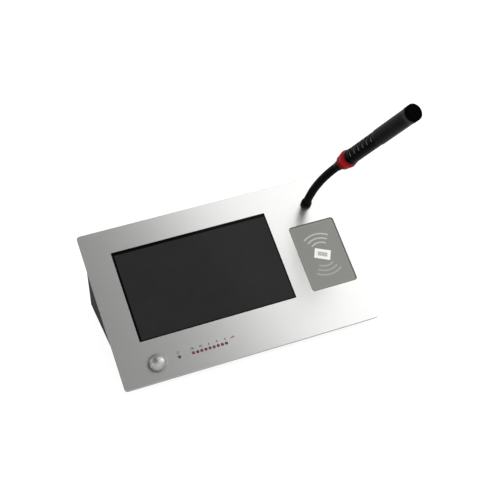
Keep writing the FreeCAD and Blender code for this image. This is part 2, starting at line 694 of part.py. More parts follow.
def rear_cuts():
    """Everything cut through the rear wall."""
    z0 = -BEYOND / 4
    z1 = BEYOND / 4
    y = CONNECTOR_HEIGHT
    cuts = [block(NETWORK_X, y, NETWORK_WIDTH + 2 * SLIP, NETWORK_HEIGHT + 2 * SLIP, z0, z1)]
    cuts += [disc(x, y, JACK_BUSH_RADIUS + SLIP / 2, z0, z1) for x in JACK_XS]
    cuts.append(disc(INLET_X, y, INLET_BODY_RADIUS + SLIP / 2, z0, z1))
    cuts.append(block(SWITCH_X, y, SWITCH_BODY_LENGTH + SLIP, SWITCH_BODY_HEIGHT + SLIP, z0, z1))
    cuts += [disc(x, yy, CLEARANCE_HOLE_RADIUS, z0, z1) for x, yy in CONNECTOR_SCREWS + SPEAKER_SCREWS]
    open_radius = SPEAKER_RADIUS - 3 * SPEAKER_RIM
    pitch = 2 * open_radius / SPEAKER_SLOTS
    for i in range(SPEAKER_SLOTS):
        rise = (i - (SPEAKER_SLOTS - 1) / 2) * pitch
        length = 2 * math.sqrt(open_radius**2 - rise**2)
        cuts.append(slot(SPEAKER_X, SPEAKER_Y + rise, length, SLOT_WIDTH, z0, z1))
    for i in range(VENT_SLOTS):
        cuts.append(slot(VENT_FIRST_X + VENT_PITCH * i, VENT_Y, VENT_LENGTH, SLOT_WIDTH, z0, z1, True))
    return [placed(c, REAR_FRAME) for c in cuts]


FLOOR_TOP = FOOT_HEIGHT + BASE_SHEET
REAR_FOOT_Y = REAR_BOTTOM.y - FOOT_INSET
BASE_SCREW_X = CASE_WIDTH / 2 - FLANGE_MIDDLE
BASE_SCREWS = [
    (side * BASE_SCREW_X, share * REAR_BOTTOM.y) for side in (-1, 1) for share in (0.03, 0.45, 0.82)
] + [(side * CASE_WIDTH / 6, REAR_BOTTOM.y - FLANGE_MIDDLE) for side in (-1, 1)]
FOOT_SCREWS = [
    (side * (FOOT_LENGTH / 2 - FOOT_WIDTH), y) for side in (-1, 1) for y in (0, REAR_FOOT_Y)
]


def housing():
    """The folded steel case: front lip, two sides, rear wall and inward flanges."""
    floor = BASE_SHEET + CASE_SHEET
    inner = wedge(CASE_SHEET, CASE_SHEET, CASE_SHEET, CASE_SHEET, floor)
    roof_opening = wedge(FLANGE_WIDTH, CASE_SHEET, -BEYOND, FLANGE_WIDTH, floor)
    floor_opening = wedge(FLANGE_WIDTH, CASE_SHEET, CASE_SHEET, FLANGE_WIDTH, -BEYOND)
    nest = layer(
        wedge(CASE_SHEET, CASE_SHEET, CASE_SHEET, CASE_SHEET, -BEYOND), FOOT_HEIGHT - 1, FLOOR_TOP
    )
    holes = [
        placed(disc(x, y, CLEARANCE_HOLE_RADIUS, -CASE_SHEET - 1, 1), PANEL_FRAME) for x, y in FLANGE_STUDS
    ]
    holes += [disc(x, y, THREAD_RADIUS, FLOOR_TOP, FLOOR_TOP + CASE_SHEET) for x, y in BASE_SCREWS]
    outer = wedge(0, 0, 0, 0, 0)
    folds = [
        e for e in outer.Edges
        if any(abs(e.tangentAt(e.FirstParameter).dot(way)) > 0.999 for way in (UP, REAR_UP))
    ]
    shell = outer.makeFillet(FOLD_RADIUS, folds).cut([inner, nest])
    return shell.cut([roof_opening, floor_opening]).cut(holes + rear_cuts())


def sunk_screw(x, y, z):
    """A countersunk screw driven upwards, its head flush with z."""
    depth = SUNK_HEAD_RADIUS - THREAD_RADIUS
    head = Part.makeCone(SUNK_HEAD_RADIUS, THREAD_RADIUS, depth, Vector(x, y, z))
    return head.fuse(disc(x, y, THREAD_RADIUS, z + depth, z + SCREW_LENGTH))


def base_plate():
    """The bottom cover, nested between the case's walls against its flanges."""
    gap = CASE_SHEET + SLIP
    plate = layer(wedge(gap, gap, gap, gap, -BEYOND), FOOT_HEIGHT, FLOOR_TOP)
    sunk = [sunk_screw(x, y, FOOT_HEIGHT) for x, y in BASE_SCREWS]
    tapped = [disc(x, y, THREAD_RADIUS, FOOT_HEIGHT, FLOOR_TOP) for x, y in FOOT_SCREWS + BOARD_HOLES]
    return plate.cut(sunk + tapped)


def base_screws():
    """The countersunk screws of the base plate and of the foot strips."""
    depth = SUNK_HEAD_RADIUS - THREAD_RADIUS
    screws = [sunk_screw(x, y, FOOT_HEIGHT) for x, y in BASE_SCREWS]
    screws += [sunk_screw(x, y, FOOT_HEIGHT - depth - 1) for x, y in FOOT_SCREWS]
    return Part.makeCompound(screws)


def foot_strips():
    """Two rubber strips under the base plate, with sunk holes for their screws."""
    depth = SUNK_HEAD_RADIUS - THREAD_RADIUS
    strips = []
    for y in (0, REAR_FOOT_Y):
        strip = rounded(0, y, FOOT_LENGTH, FOOT_WIDTH, FOOT_WIDTH / 3, 0, FOOT_HEIGHT)
        strip = strip.makeFillet(FOOT_EDGE_RADIUS, top_edges(strip, 0))
        screws = [(x, yy) for x, yy in FOOT_SCREWS if yy == y]
        cuts = [sunk_screw(x, yy, FOOT_HEIGHT - depth - 1) for x, yy in screws]
        cuts += [disc(x, yy, SUNK_HEAD_RADIUS, 0, FOOT_HEIGHT - depth - 1) for x, yy in screws]
        strips.append(strip.cut(cuts))
    return Part.makeCompound(strips)


BOARD_DEPTH = REAR_BOTTOM.y - BOARD_FRONT_Y - BOARD_TO_REAR
BOARD_HOLES = [
    (
        BOARD_X + sx * (BOARD_WIDTH / 2 - BOARD_HOLE_INSET),
        BOARD_FRONT_Y + BOARD_DEPTH / 2 + sy * (BOARD_DEPTH / 2 - BOARD_HOLE_INSET),
    )
    for sx in (-1, 1)
    for sy in (-1, 1)
]
BOARD_BOTTOM = FLOOR_TOP + STANDOFF_HEIGHT
BOARD_TOP = BOARD_BOTTOM + BOARD_THICKNESS
BOARD_BACK_Y = BOARD_FRONT_Y + BOARD_DEPTH


def board_standoffs():
    """Spacers pressed into the base plate, tapped for the board's screws."""
    spacers = []
    for x, y in BOARD_HOLES:
        body = hexagon(x, y, STANDOFF_ACROSS, FLOOR_TOP, BOARD_BOTTOM)
        foot = disc(x, y, THREAD_RADIUS, FOOT_HEIGHT, FLOOR_TOP)
        tapped = disc(x, y, THREAD_RADIUS, BOARD_TOP - SCREW_LENGTH, BOARD_BOTTOM)
        spacers.append(body.fuse(foot).cut(tapped))
    return Part.makeCompound(spacers)


def main_board():
    board = rounded(
        BOARD_X, BOARD_FRONT_Y + BOARD_DEPTH / 2, BOARD_WIDTH, BOARD_DEPTH, 2.0, BOARD_BOTTOM, BOARD_TOP
    )
    return board.cut([disc(x, y, CLEARANCE_HOLE_RADIUS, BOARD_BOTTOM, BOARD_TOP) for x, y in BOARD_HOLES])


def board_chips():
    """Processor, memories, network chip and amplifier chip."""
    middle = BOARD_FRONT_Y + BOARD_DEPTH / 2
    top = BOARD_TOP
    x = BOARD_X - BOARD_WIDTH * 0.09
    chips = [block(x, middle, PROCESSOR_SIDE, PROCESSOR_SIDE, top, top + PROCESSOR_HEIGHT)]
    x = BOARD_X + BOARD_WIDTH * 0.09
    for i in range(MEMORIES):
        y = middle + (i - (MEMORIES - 1) / 2) * (MEMORY_DEPTH + MEMORY_GAP)
        chips.append(block(x, y, MEMORY_WIDTH, MEMORY_DEPTH, top, top + MEMORY_HEIGHT))
    x = BOARD_X - BOARD_WIDTH * 0.27
    y = BOARD_FRONT_Y + BOARD_DEPTH * 0.66
    chips.append(block(x, y, NETWORK_CHIP_SIDE, NETWORK_CHIP_SIDE, top, top + NETWORK_CHIP_HEIGHT))
    x = BOARD_X + BOARD_WIDTH * 0.28
    chips.append(block(x, middle, AMPLIFIER_WIDTH, AMPLIFIER_DEPTH, top, top + AMPLIFIER_HEIGHT))
    return Part.makeCompound(chips)


def capacitors():
    """Cans in a row in front of the amplifier chip."""
    cans = []
    top = BOARD_TOP + CAPACITOR_HEIGHT
    first = BOARD_X + BOARD_WIDTH * 0.09 + MEMORY_WIDTH / 2 + CAPACITOR_GAP + CAPACITOR_RADIUS
    for i in range(CAPACITORS):
        x = first + i * (2 * CAPACITOR_RADIUS + CAPACITOR_GAP)
        can = disc(x, BOARD_FRONT_Y + HEADER_INSET + HEADER_DEPTH, CAPACITOR_RADIUS, BOARD_TOP, top)
        cans.append(can.makeFillet(CAPACITOR_RADIUS / 8, top_edges(can, top)))
    return Part.makeCompound(cans)


LEAD_HEADER_X = BOARD_X + BOARD_WIDTH / 2 - LEAD_HEADER_INSET
LEAD_HEADER_Y = BOARD_BACK_Y - LEAD_HEADER_INSET
HEADER_TOP = BOARD_TOP + HEADER_HEIGHT


def board_connectors():
    """Headers for the screen ribbon, the microphone lead and the lamp board."""
    y = BOARD_FRONT_Y + HEADER_INSET
    ribbon = RIBBON_WIDTH + HEADER_DEPTH
    headers = [block(BOARD_X, y, ribbon, HEADER_DEPTH, BOARD_TOP, HEADER_TOP)]
    headers.append(
        block(LEAD_HEADER_X, LEAD_HEADER_Y, LEAD_HEADER_WIDTH, HEADER_DEPTH, BOARD_TOP, HEADER_TOP)
    )
    x = BOARD_X - BOARD_WIDTH * 0.32
    headers.append(block(x, y, LAMP_HEADER_WIDTH, HEADER_DEPTH, BOARD_TOP, HEADER_TOP))
    return Part.makeCompound(headers)


def screen_ribbon():
    """The flat cable from the display's back down to its header, slack in one soft curve."""
    bottom = Vector(0, BOARD_FRONT_Y + HEADER_INSET, HEADER_TOP)
    under = -SCREEN_FRAME_THICKNESS - DISPLAY_HEIGHT
    top = PANEL_FRAME.multVec(Vector(0, SCREEN_Y - RIBBON_START, under))
    rise = top.z - bottom.z
    centre = [
        bottom,
        bottom + Vector(0, 0, rise * 0.25),
        Vector(0, (bottom.y + top.y) / 2 + rise * 0.1, bottom.z + rise * 0.5),
        top - PANEL_OUT * rise * 0.25,
        top,
    ]
    half = RIBBON_THICKNESS / 2
    sides = []
    for sign in (1, -1):
        line = Part.BSplineCurve()
        line.interpolate([p + Vector(0, sign * half, 0) for p in centre])
        sides.append(line.toShape())
    face = Part.makeRuledSurface(sides[0], sides[1])
    strip = face.extrude(Vector(RIBBON_WIDTH, 0, 0))
    strip = placed(strip, Placement(Vector(BOARD_X - RIBBON_WIDTH / 2, 0, 0), Rotation()))
    return strip.cut(placed(display_module(), PANEL_FRAME))


def connector_board():
    board = block(
        CONNECTOR_BOARD_X, CONNECTOR_HEIGHT, CONNECTOR_BOARD_WIDTH, CONNECTOR_BOARD_DEPTH,
        CONNECTOR_BOARD_Z - BOARD_THICKNESS, CONNECTOR_BOARD_Z,
    )
    return placed(board, REAR_FRAME)


def connector_standoffs():
    spacers = []
    for x, y in CONNECTOR_SCREWS:
        body = hexagon(x, y, STANDOFF_ACROSS, CONNECTOR_BOARD_Z, INSIDE)
        spacers.append(body.cut(disc(x, y, THREAD_RADIUS, -SCREW_LENGTH, INSIDE)))
    return placed(Part.makeCompound(spacers), REAR_FRAME)


def network_socket():
    """The network socket, its mouth facing out of the rear wall."""
    y = CONNECTOR_HEIGHT
    shell = block(NETWORK_X, y, NETWORK_WIDTH, NETWORK_HEIGHT, CONNECTOR_BOARD_Z, NETWORK_PROUD)
    floor = NETWORK_PROUD - PLUG_DEPTH
    mouth = block(NETWORK_X, y, PLUG_WIDTH, PLUG_HEIGHT, floor, NETWORK_PROUD)
    latch_y = y - PLUG_HEIGHT / 2 - LATCH_HEIGHT / 2
    latch = block(NETWORK_X, latch_y, LATCH_WIDTH, LATCH_HEIGHT, floor, NETWORK_PROUD)
    return placed(shell.cut([mouth, latch]), REAR_FRAME)


def network_contacts():
    """Eight sprung wires along the upper side of the socket's mouth."""
    y = CONNECTOR_HEIGHT + PLUG_HEIGHT / 2 - NETWORK_WIRE_DROP / 2
    z0 = NETWORK_PROUD - PLUG_DEPTH
    z1 = z0 + NETWORK_WIRE_LENGTH
    wires = []
    for i in range(NETWORK_WIRES):
        x = NETWORK_X + NETWORK_WIRE_PITCH * (i - (NETWORK_WIRES - 1) / 2)
        wires.append(block(x, y, NETWORK_WIRE_WIDTH, NETWORK_WIRE_DROP, z0, z1))
    return placed(Part.makeCompound(wires), REAR_FRAME)


def audio_jack(x):
    """A 3.5 mm jack with its bush through the wall."""
    y = CONNECTOR_HEIGHT
    body = block(x, y, JACK_SIDE, JACK_SIDE, CONNECTOR_BOARD_Z, INSIDE)
    bush = disc(x, y, JACK_BUSH_RADIUS, INSIDE, JACK_BUSH_PROUD)
    bore = disc(x, y, JACK_BORE_RADIUS, JACK_BUSH_PROUD - JACK_BORE_LENGTH, JACK_BUSH_PROUD)
    return placed(body.fuse(bush).cut(bore), REAR_FRAME)


def power_inlet():
    """The round power inlet with its centre pin."""
    body = turned(
        [
            (0, -INLET_DEPTH),
            (INLET_BODY_RADIUS, -INLET_DEPTH),
            (INLET_BODY_RADIUS, 0),
            (INLET_FLANGE_RADIUS, 0),
            (INLET_FLANGE_RADIUS, INLET_FLANGE / 2),
            (INLET_FLANGE_RADIUS - INLET_FLANGE / 2, INLET_FLANGE),
            (INLET_BORE_RADIUS, INLET_FLANGE),
            (INLET_BORE_RADIUS, INLET_FLANGE - INLET_BORE_DEPTH),
            (INLET_PIN_RADIUS, INLET_FLANGE - INLET_BORE_DEPTH),
            (INLET_PIN_RADIUS, INLET_FLANGE - INLET_PIN_RECESS),
            (0, INLET_FLANGE - INLET_PIN_RECESS),
        ]
    )
    spot = Placement(Vector(INLET_X, CONNECTOR_HEIGHT, 0), Rotation())
    return placed(placed(body, spot), REAR_FRAME)


ROCKER_PIVOT_Z = SWITCH_BEZEL - ROCKER_WAIST
SWITCH_FRAME = REAR_FRAME.multiply(Placement(Vector(SWITCH_X, CONNECTOR_HEIGHT, 0), Rotation()))


def rocker_case():
    """The snap-in case of the rocker switch, open for the rocker."""
    bezel = rounded(0, 0, SWITCH_LENGTH, SWITCH_HEIGHT, 1.0, 0, SWITCH_BEZEL)
    bezel = bezel.makeFillet(0.5, top_edges(bezel, SWITCH_BEZEL))
    body = block(0, 0, SWITCH_BODY_LENGTH, SWITCH_BODY_HEIGHT, -SWITCH_BODY_DEPTH, 0)
    sweep = ROCKER_RADIUS + SLIP
    depth = ROCKER_PIVOT_Z - ROCKER_UNDERSIDE - ROCKER_RADIUS * math.sin(math.radians(ROCKER_THROW / 2))
    well = block(0, 0, 2 * sweep, ROCKER_WIDTH + 2 * SLIP, depth - SLIP, SWITCH_BEZEL)
    reach = ROCKER_WIDTH / 2 + ROCKER_PIN_LENGTH + SLIP
    pin = Part.makeCylinder(
        ROCKER_PIN_RADIUS + SHAFT_FIT, 2 * reach, Vector(0, -reach, ROCKER_PIVOT_Z), ALONG
    )
    return placed(bezel.fuse(body).cut([well, pin]), SWITCH_FRAME)


def rocker():
    """The rocker with its dished face and two pins, resting with one end down."""
    width = ROCKER_WIDTH
    half_throw = math.radians(ROCKER_THROW / 2)
    rise = ROCKER_WAIST + ROCKER_RADIUS * math.tan(half_throw)
    points = [
        (-ROCKER_RADIUS, -ROCKER_UNDERSIDE),
        (ROCKER_RADIUS, -ROCKER_UNDERSIDE),
        (ROCKER_RADIUS, rise),
        (0, ROCKER_WAIST),
        (-ROCKER_RADIUS, rise),
    ]
    corners = [Vector(x, -width / 2, z) for x, z in points]
    body = Part.Face(Part.makePolygon(corners + corners[:1])).extrude(Vector(0, width, 0))
    body = body.common(Part.makeCylinder(ROCKER_RADIUS, width, Vector(0, -width / 2, 0), ALONG))
    reach = width / 2 + ROCKER_PIN_LENGTH
    pin = Part.makeCylinder(ROCKER_PIN_RADIUS, 2 * reach, Vector(0, -reach, 0), ALONG)
    rest = Placement(Vector(0, 0, ROCKER_PIVOT_Z), Rotation(ALONG, -ROCKER_THROW / 2))
    return placed(placed(body.fuse(pin), rest), SWITCH_FRAME)


def at_speaker(shape):
    spot = Placement(Vector(SPEAKER_X, SPEAKER_Y, INSIDE), Rotation())
    return placed(placed(shape, spot), REAR_FRAME)


def loudspeaker_frame():
    """The basket with its square flange and the magnet behind."""
    side = 2 * (SPEAKER_LUG + PAN_HEAD_RADIUS)
    flange = rounded(0, 0, side, side, SPEAKER_RADIUS / 5, -SPEAKER_RIM, 0)
    lugs = [(sx * SPEAKER_LUG, sy * SPEAKER_LUG) for sx in (-1, 1) for sy in (-1, 1)]
    holes = [disc(x, y, THREAD_RADIUS, -SPEAKER_RIM, 0) for x, y in lugs]
    magnet = SPEAKER_RADIUS * 0.6
    back = -SPEAKER_DEPTH / 2
    mouth = SPEAKER_RADIUS - SPEAKER_SHELL
    outer = turned(
        [
            (0, -SPEAKER_RIM), (mouth, -SPEAKER_RIM), (magnet, back),
            (magnet, -SPEAKER_DEPTH), (0, -SPEAKER_DEPTH),
        ]
    )
    mouth -= SPEAKER_SHELL / 2
    hollow = turned([(0, 0), (mouth, 0), (mouth, -SPEAKER_RIM), (magnet - SPEAKER_SHELL, back), (0, back)])
    return at_speaker(flange.cut(holes).fuse(outer).cut(hollow))


def loudspeaker_cone():
    """The paper cone with its dust cap, inside the basket."""
    edge = SPEAKER_RADIUS - 1.5 * SPEAKER_SHELL
    fold = edge - SPEAKER_SHELL
    throat = SPEAKER_RADIUS * 0.3
    deep = SLIP - SPEAKER_DEPTH / 2
    thick = CONE_THICKNESS
    return at_speaker(
        turned(
            [
                (0, deep + thick), (throat, deep + thick), (fold, -2 * thick), (edge, -thick),
                (edge, -2 * thick), (fold, -3 * thick), (throat, deep), (0, deep),
            ]
        )
    )


def pan_screw(z=0.0):
    """A pan-head screw driven along -z from a face at z."""
    head = disc(0, 0, PAN_HEAD_RADIUS, z, z + PAN_HEAD_HEIGHT)
    head = head.makeFillet(PAN_HEAD_HEIGHT * 0.4, top_edges(head, z + PAN_HEAD_HEIGHT))
    floor = z + PAN_HEAD_HEIGHT - RECESS_DEPTH
    recess = block(0, 0, 2 * RECESS_REACH, RECESS_WIDTH, floor, z + PAN_HEAD_HEIGHT)
    recess = recess.fuse(block(0, 0, RECESS_WIDTH, 2 * RECESS_REACH, floor, z + PAN_HEAD_HEIGHT))
    return head.cut(recess).fuse(disc(0, 0, THREAD_RADIUS, z - SCREW_LENGTH, z))


def pan_head_screws():
    """The like screws of the main board, the connector board and the loudspeaker."""
    screws = []
    for x, y in BOARD_HOLES:
        screws.append(placed(pan_screw(), Placement(Vector(x, y, BOARD_TOP), Rotation())))
    for x, y in CONNECTOR_SCREWS + SPEAKER_SCREWS:
        spot = Placement(Vector(x, y, 0), Rotation())
        screws.append(placed(placed(pan_screw(), spot), REAR_FRAME))
    return Part.makeCompound(screws)


# The gooseneck's links and the head stand on a chain of frames, each turned a little more
LINK_LENGTH = NECK_LENGTH / NECK_JOINTS
COLLAR_TOP = PANEL_FRAME.multVec(Vector(NECK_X, NECK_Y, PANEL_THICKNESS + COLLAR_HEIGHT))


def neck_direction(turns):
    """The direction of the neck after a number of its joints."""
    bend = math.radians(NECK_BEND) * turns / NECK_JOINTS
    towards = math.radians(NECK_BEND_DIRECTION)
    local = Vector(
        math.sin(bend) * math.cos(towards), math.sin(bend) * math.sin(towards), math.cos(bend)
    )
    return PANEL_FRAME.Rotation.multVec(local)


def neck_frames():
    """The frame at the start of each link: its origin is a joint, its z runs along the link."""
    frames = []
    start = COLLAR_TOP
    for turns in range(NECK_JOINTS + 1):
        towards = neck_direction(turns)
        frames.append(Placement(start, Rotation(UP, towards)))
        length = LINK_LENGTH / 2 if turns in (0, NECK_JOINTS) else LINK_LENGTH
        start = start + towards * length
    return frames, start


NECK_FRAMES, HEAD_START = neck_frames()
HEAD_FRAME = Placement(HEAD_START, Rotation(UP, neck_direction(NECK_JOINTS)))


def neck_collar():
    """The metal bush that holds the gooseneck, with its threaded stem through the panel."""
    top = PANEL_THICKNESS + COLLAR_HEIGHT
    collar = turned(
        [
            (LEAD_BORE_RADIUS, -STEM_LENGTH),
            (STEM_RADIUS, -STEM_LENGTH),
            (STEM_RADIUS, PANEL_THICKNESS),
            (COLLAR_RADIUS, PANEL_THICKNESS),
            (COLLAR_RADIUS, top - COLLAR_SHOULDER),
            (NECK_RADIUS + SLIP, top),
            (LEAD_BORE_RADIUS, top),
        ]
    )
    return placed(collar, Placement(Vector(NECK_X, NECK_Y, 0), Rotation()))


def neck_nut():
    body = hexagon(NECK_X, NECK_Y, NECK_NUT_ACROSS, -NECK_NUT_HEIGHT, 0)
    return body.cut(disc(NECK_X, NECK_Y, STEM_RADIUS, -NECK_NUT_HEIGHT, 0))


def mic_lead():
    """The microphone's lead from the collar's bore down to its header."""
    top = PANEL_FRAME.multVec(Vector(NECK_X, NECK_Y, PANEL_THICKNESS + COLLAR_HEIGHT / 2))
    under = PANEL_FRAME.multVec(Vector(NECK_X, NECK_Y, -STEM_LENGTH - LEAD_DROP))
    plug = Vector(LEAD_HEADER_X, LEAD_HEADER_Y, HEADER_TOP)
    above = plug + Vector(0, 0, LEAD_RISE)
    bend = Vector((under.x * 2 + above.x) / 3, (under.y + above.y) / 2, (under.z + above.z * 2) / 3)
    return lead([top, under, bend, above, plug], LEAD_RADIUS)


def neck_link(number):
    """One link of the gooseneck: a cup on the joint below and a dome at the joint above."""
    first = number == 0
    last = number == NECK_JOINTS
    length = LINK_LENGTH / 2 if first or last else LINK_LENGTH
    body = disc(0, 0, NECK_RADIUS, 0, length)
    if not last:
        body = body.fuse(Part.makeSphere(NECK_RADIUS, Vector(0, 0, length))).removeSplitter()
    if not first:
        body = body.cut(Part.makeSphere(NECK_RADIUS + NECK_JOINT_GAP))
    return placed(body, NECK_FRAMES[number])


RING_END = FERRULE_LENGTH + RING_LENGTH
BARREL_END = RING_END + BARREL_LENGTH
BARREL_INNER = BARREL_RADIUS - BARREL_WALL
BARREL_FOOT_RADIUS = BARREL_RADIUS + BARREL_FOOT_STEP
GRILLE_INNER = GRILLE_RADIUS - GRILLE_WALL
GRILLE_END = BARREL_END + GRILLE_LENGTH
PLUG_START = RING_END + RING_LAMP_THICKNESS
PLUG_END = PLUG_START + BARREL_PLUG


def head_ferrule():
    """The cone on the gooseneck's end, with the spigot that carries the ring and the barrel."""
    return turned(
        [
            (LEAD_BORE_RADIUS, 0), (NECK_RADIUS + SLIP, 0), (FERRULE_RADIUS, FERRULE_LENGTH * 0.9),
            (FERRULE_RADIUS, FERRULE_LENGTH), (SPIGOT_RADIUS, FERRULE_LENGTH), (SPIGOT_RADIUS, PLUG_START),
            (BARREL_INNER, PLUG_START), (BARREL_INNER, PLUG_END), (LEAD_BORE_RADIUS, PLUG_END),
        ]
    )


def light_ring():
    """The red translucent ring: it widens from its heel to its lip, then narrows to the barrel."""
    edge = RING_HEEL_EDGE
    return turned(
        [
            (SPIGOT_RADIUS, FERRULE_LENGTH), (RING_HEEL_RADIUS - edge, FERRULE_LENGTH),
            (RING_HEEL_RADIUS, FERRULE_LENGTH + edge), (RING_RADIUS, RING_END - RING_LIP),
            (RING_RADIUS, RING_END - RING_LIP * 0.85), (BARREL_FOOT_RADIUS, RING_END),
            (SPIGOT_RADIUS, RING_END),
        ]
    )


def ring_lamp_board():
    return tube(BARREL_INNER - SLIP / 2, SPIGOT_RADIUS, RING_END, PLUG_START)


def mic_barrel():
    """The slotted rear tube: a low step meets the ring, and a thinner end enters the grille."""
    step_end = RING_END + BARREL_FOOT_LENGTH
    body = turned(
        [
            (BARREL_INNER, RING_END), (BARREL_FOOT_RADIUS, RING_END), (BARREL_FOOT_RADIUS, step_end),
            (BARREL_RADIUS, step_end), (BARREL_RADIUS, BARREL_END),
            (GRILLE_INNER, BARREL_END), (GRILLE_INNER, BARREL_END + JOIN_LENGTH),
            (GRILLE_INNER - BARREL_WALL / 2, BARREL_END + JOIN_LENGTH),
            (GRILLE_INNER - BARREL_WALL / 2, BARREL_END - BARREL_WALL),
            (BARREL_INNER, BARREL_END - BARREL_WALL),
        ]
    )
    cuts = []
    for i in range(BARREL_SLOTS):
        z = RING_END + SLOT_FIRST + SLOT_PITCH * i
        for side in (0, 180):
            window = box(SLOT_CHORD, CAP_RADIUS, -CAP_RADIUS, CAP_RADIUS, z, z + BARREL_SLOT_WIDTH)
            cuts.append(placed(window, Placement(Vector(), Rotation(UP, SLOT_DIRECTION + side))))
    return body.cut(cuts)


def acoustic_liner():
    """The cloth tube behind the barrel's slots."""
    outer = BARREL_INNER - 0.05
    return tube(outer, outer - LINER_WALL, PLUG_END, BARREL_END - 2 * BARREL_WALL)


def preamp_board():
    z0 = PLUG_END + JOIN_LENGTH
    return block(0, 0, PREAMP_WIDTH, PREAMP_THICKNESS, z0, z0 + PREAMP_LENGTH)


def mic_grille():
    return tube(GRILLE_RADIUS, GRILLE_INNER, BARREL_END, GRILLE_END)


HOLDER_START = GRILLE_END - JOIN_LENGTH - SLIP - HOLDER_LENGTH


def capsule_holder():
    """The rubber cup that grips the capsule inside the grille."""
    cup = disc(0, 0, GRILLE_INNER, HOLDER_START, HOLDER_START + HOLDER_LENGTH)
    hollow = disc(0, 0, CAPSULE_RADIUS, HOLDER_START + HOLDER_FLOOR, HOLDER_START + HOLDER_LENGTH)
    wires = disc(0, 0, LEAD_BORE_RADIUS, HOLDER_START, HOLDER_START + HOLDER_FLOOR)
    return cup.cut([hollow, wires])


def mic_capsule():
    z0 = HOLDER_START + HOLDER_FLOOR
    can = disc(0, 0, CAPSULE_RADIUS, z0, z0 + CAPSULE_LENGTH)
    return can.makeFillet(0.4, top_edges(can, z0 + CAPSULE_LENGTH))


def mic_end_cap():
    """The closed cap at the tip, a little wider than the grille, with a shallow dish."""
    z1 = GRILLE_END + CAP_LENGTH
    cap = disc(0, 0, CAP_RADIUS, GRILLE_END, z1)
    cap = cap.makeFillet(CAP_EDGE_RADIUS, top_edges(cap, z1))
    dish = disc(0, 0, CAP_RADIUS - 2 * CAP_EDGE_RADIUS, z1 - CAP_DISH, z1)
    spigot = tube(GRILLE_INNER, GRILLE_INNER - BARREL_WALL, GRILLE_END - JOIN_LENGTH, GRILLE_END)
    return cap.fuse(spigot).cut(dish)


ON_PANEL = [
    front_panel, panel_studs, panel_nuts, screen_glass, screen_frame, display_module,
    display_bracket, card_plate, reader_board, reader_coil, encoder_body, encoder_rotor,
    encoder_shaft, encoder_nut, knob_bezel, knob, power_lamp, level_lamps, lamp_board,
    neck_collar, neck_nut,
]
ON_HEAD = [
    head_ferrule, light_ring, ring_lamp_board, mic_barrel, acoustic_liner, preamp_board,
    mic_grille, capsule_holder, mic_capsule, mic_end_cap,
]
IN_CASE = [
    housing, base_plate, base_screws, foot_strips, board_standoffs, main_board, board_chips,
    capacitors, board_connectors, screen_ribbon, connector_board, connector_standoffs,
    network_socket, network_contacts, power_inlet, rocker_case, rocker, loudspeaker_frame,
    loudspeaker_cone, pan_head_screws, mic_lead,
]


def pieces():
    """Every piece by its name, in the console's frame."""
    made = {make.__name__: placed(make(), PANEL_FRAME) for make in ON_PANEL}
    made.update({make.__name__: placed(make(), HEAD_FRAME) for make in ON_HEAD})
    made.update({make.__name__: make() for make in IN_CASE})
    made["audio_in_jack"] = audio_jack(JACK_XS[0])
    made["audio_out_jack"] = audio_jack(JACK_XS[1])
    for number in range(NECK_JOINTS + 1):
        made[f"neck_link_{number}"] = neck_link(number)
    return made


def main():
    os.makedirs("parts", exist_ok=True)
    for name, shape in pieces().items():
        shape.exportStep(f"parts/{name}.step")


main()
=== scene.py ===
import json
import math

import bpy
from bpy.props import FloatProperty, FloatVectorProperty, PointerProperty
from mathutils import Matrix, Vector


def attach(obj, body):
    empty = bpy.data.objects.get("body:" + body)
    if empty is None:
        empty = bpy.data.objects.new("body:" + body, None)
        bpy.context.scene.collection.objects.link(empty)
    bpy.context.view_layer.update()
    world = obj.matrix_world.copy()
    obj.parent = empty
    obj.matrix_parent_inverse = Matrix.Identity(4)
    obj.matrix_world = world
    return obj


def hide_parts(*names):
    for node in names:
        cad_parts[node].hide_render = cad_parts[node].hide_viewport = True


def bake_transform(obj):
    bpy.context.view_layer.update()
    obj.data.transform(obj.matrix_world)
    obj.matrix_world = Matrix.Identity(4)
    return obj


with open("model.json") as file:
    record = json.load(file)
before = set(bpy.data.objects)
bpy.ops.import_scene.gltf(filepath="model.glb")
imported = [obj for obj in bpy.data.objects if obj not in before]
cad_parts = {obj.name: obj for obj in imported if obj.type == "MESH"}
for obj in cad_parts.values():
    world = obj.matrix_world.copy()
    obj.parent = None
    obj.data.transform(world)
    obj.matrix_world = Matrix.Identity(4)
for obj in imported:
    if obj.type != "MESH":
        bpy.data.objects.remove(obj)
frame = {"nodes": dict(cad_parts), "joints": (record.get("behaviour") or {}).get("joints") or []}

bl_info = {
    "name": "Paging Console",
    "version": (1, 0, 0),
    "blender": (4, 5, 0),
    "location": "View3D > Sidebar > Paging",
    "description": "Finishes a desk paging console with a gooseneck microphone",
    "category": "Object",
}

MM = 0.001
INK = 0.03 * MM  # how thick printing stands on what carries it
CAPITAL = 0.7  # height of a number as a share of its type's size
BOLDER = 0.025  # how far a number's outline is widened, as a share of its height
CLEAR = 30 * MM  # how far outside the case a ray starts that looks for a surface to print on
SHARP_EDGE = math.radians(38)  # surfaces that meet at more than this angle show a hard edge
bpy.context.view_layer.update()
JOINTS = {joint["name"]: joint for joint in frame["joints"]}
NECK_BODIES = ["console", "neck_1", "neck_2", "neck_3", "neck_4", "microphone"]
NECK_JOINTS = [
    "neck_1_forward", "neck_2_sideways", "neck_3_forward", "neck_4_sideways", "neck_5_forward"
]
NECK_POINTS = [Vector(JOINTS[name]["pos_m"]) for name in NECK_JOINTS]


def axes(origin, x, y, z):
    """The matrix that puts things drawn from this origin along these axes in place."""
    return Matrix.Translation(origin) @ Matrix((x, y, z)).transposed().to_4x4()


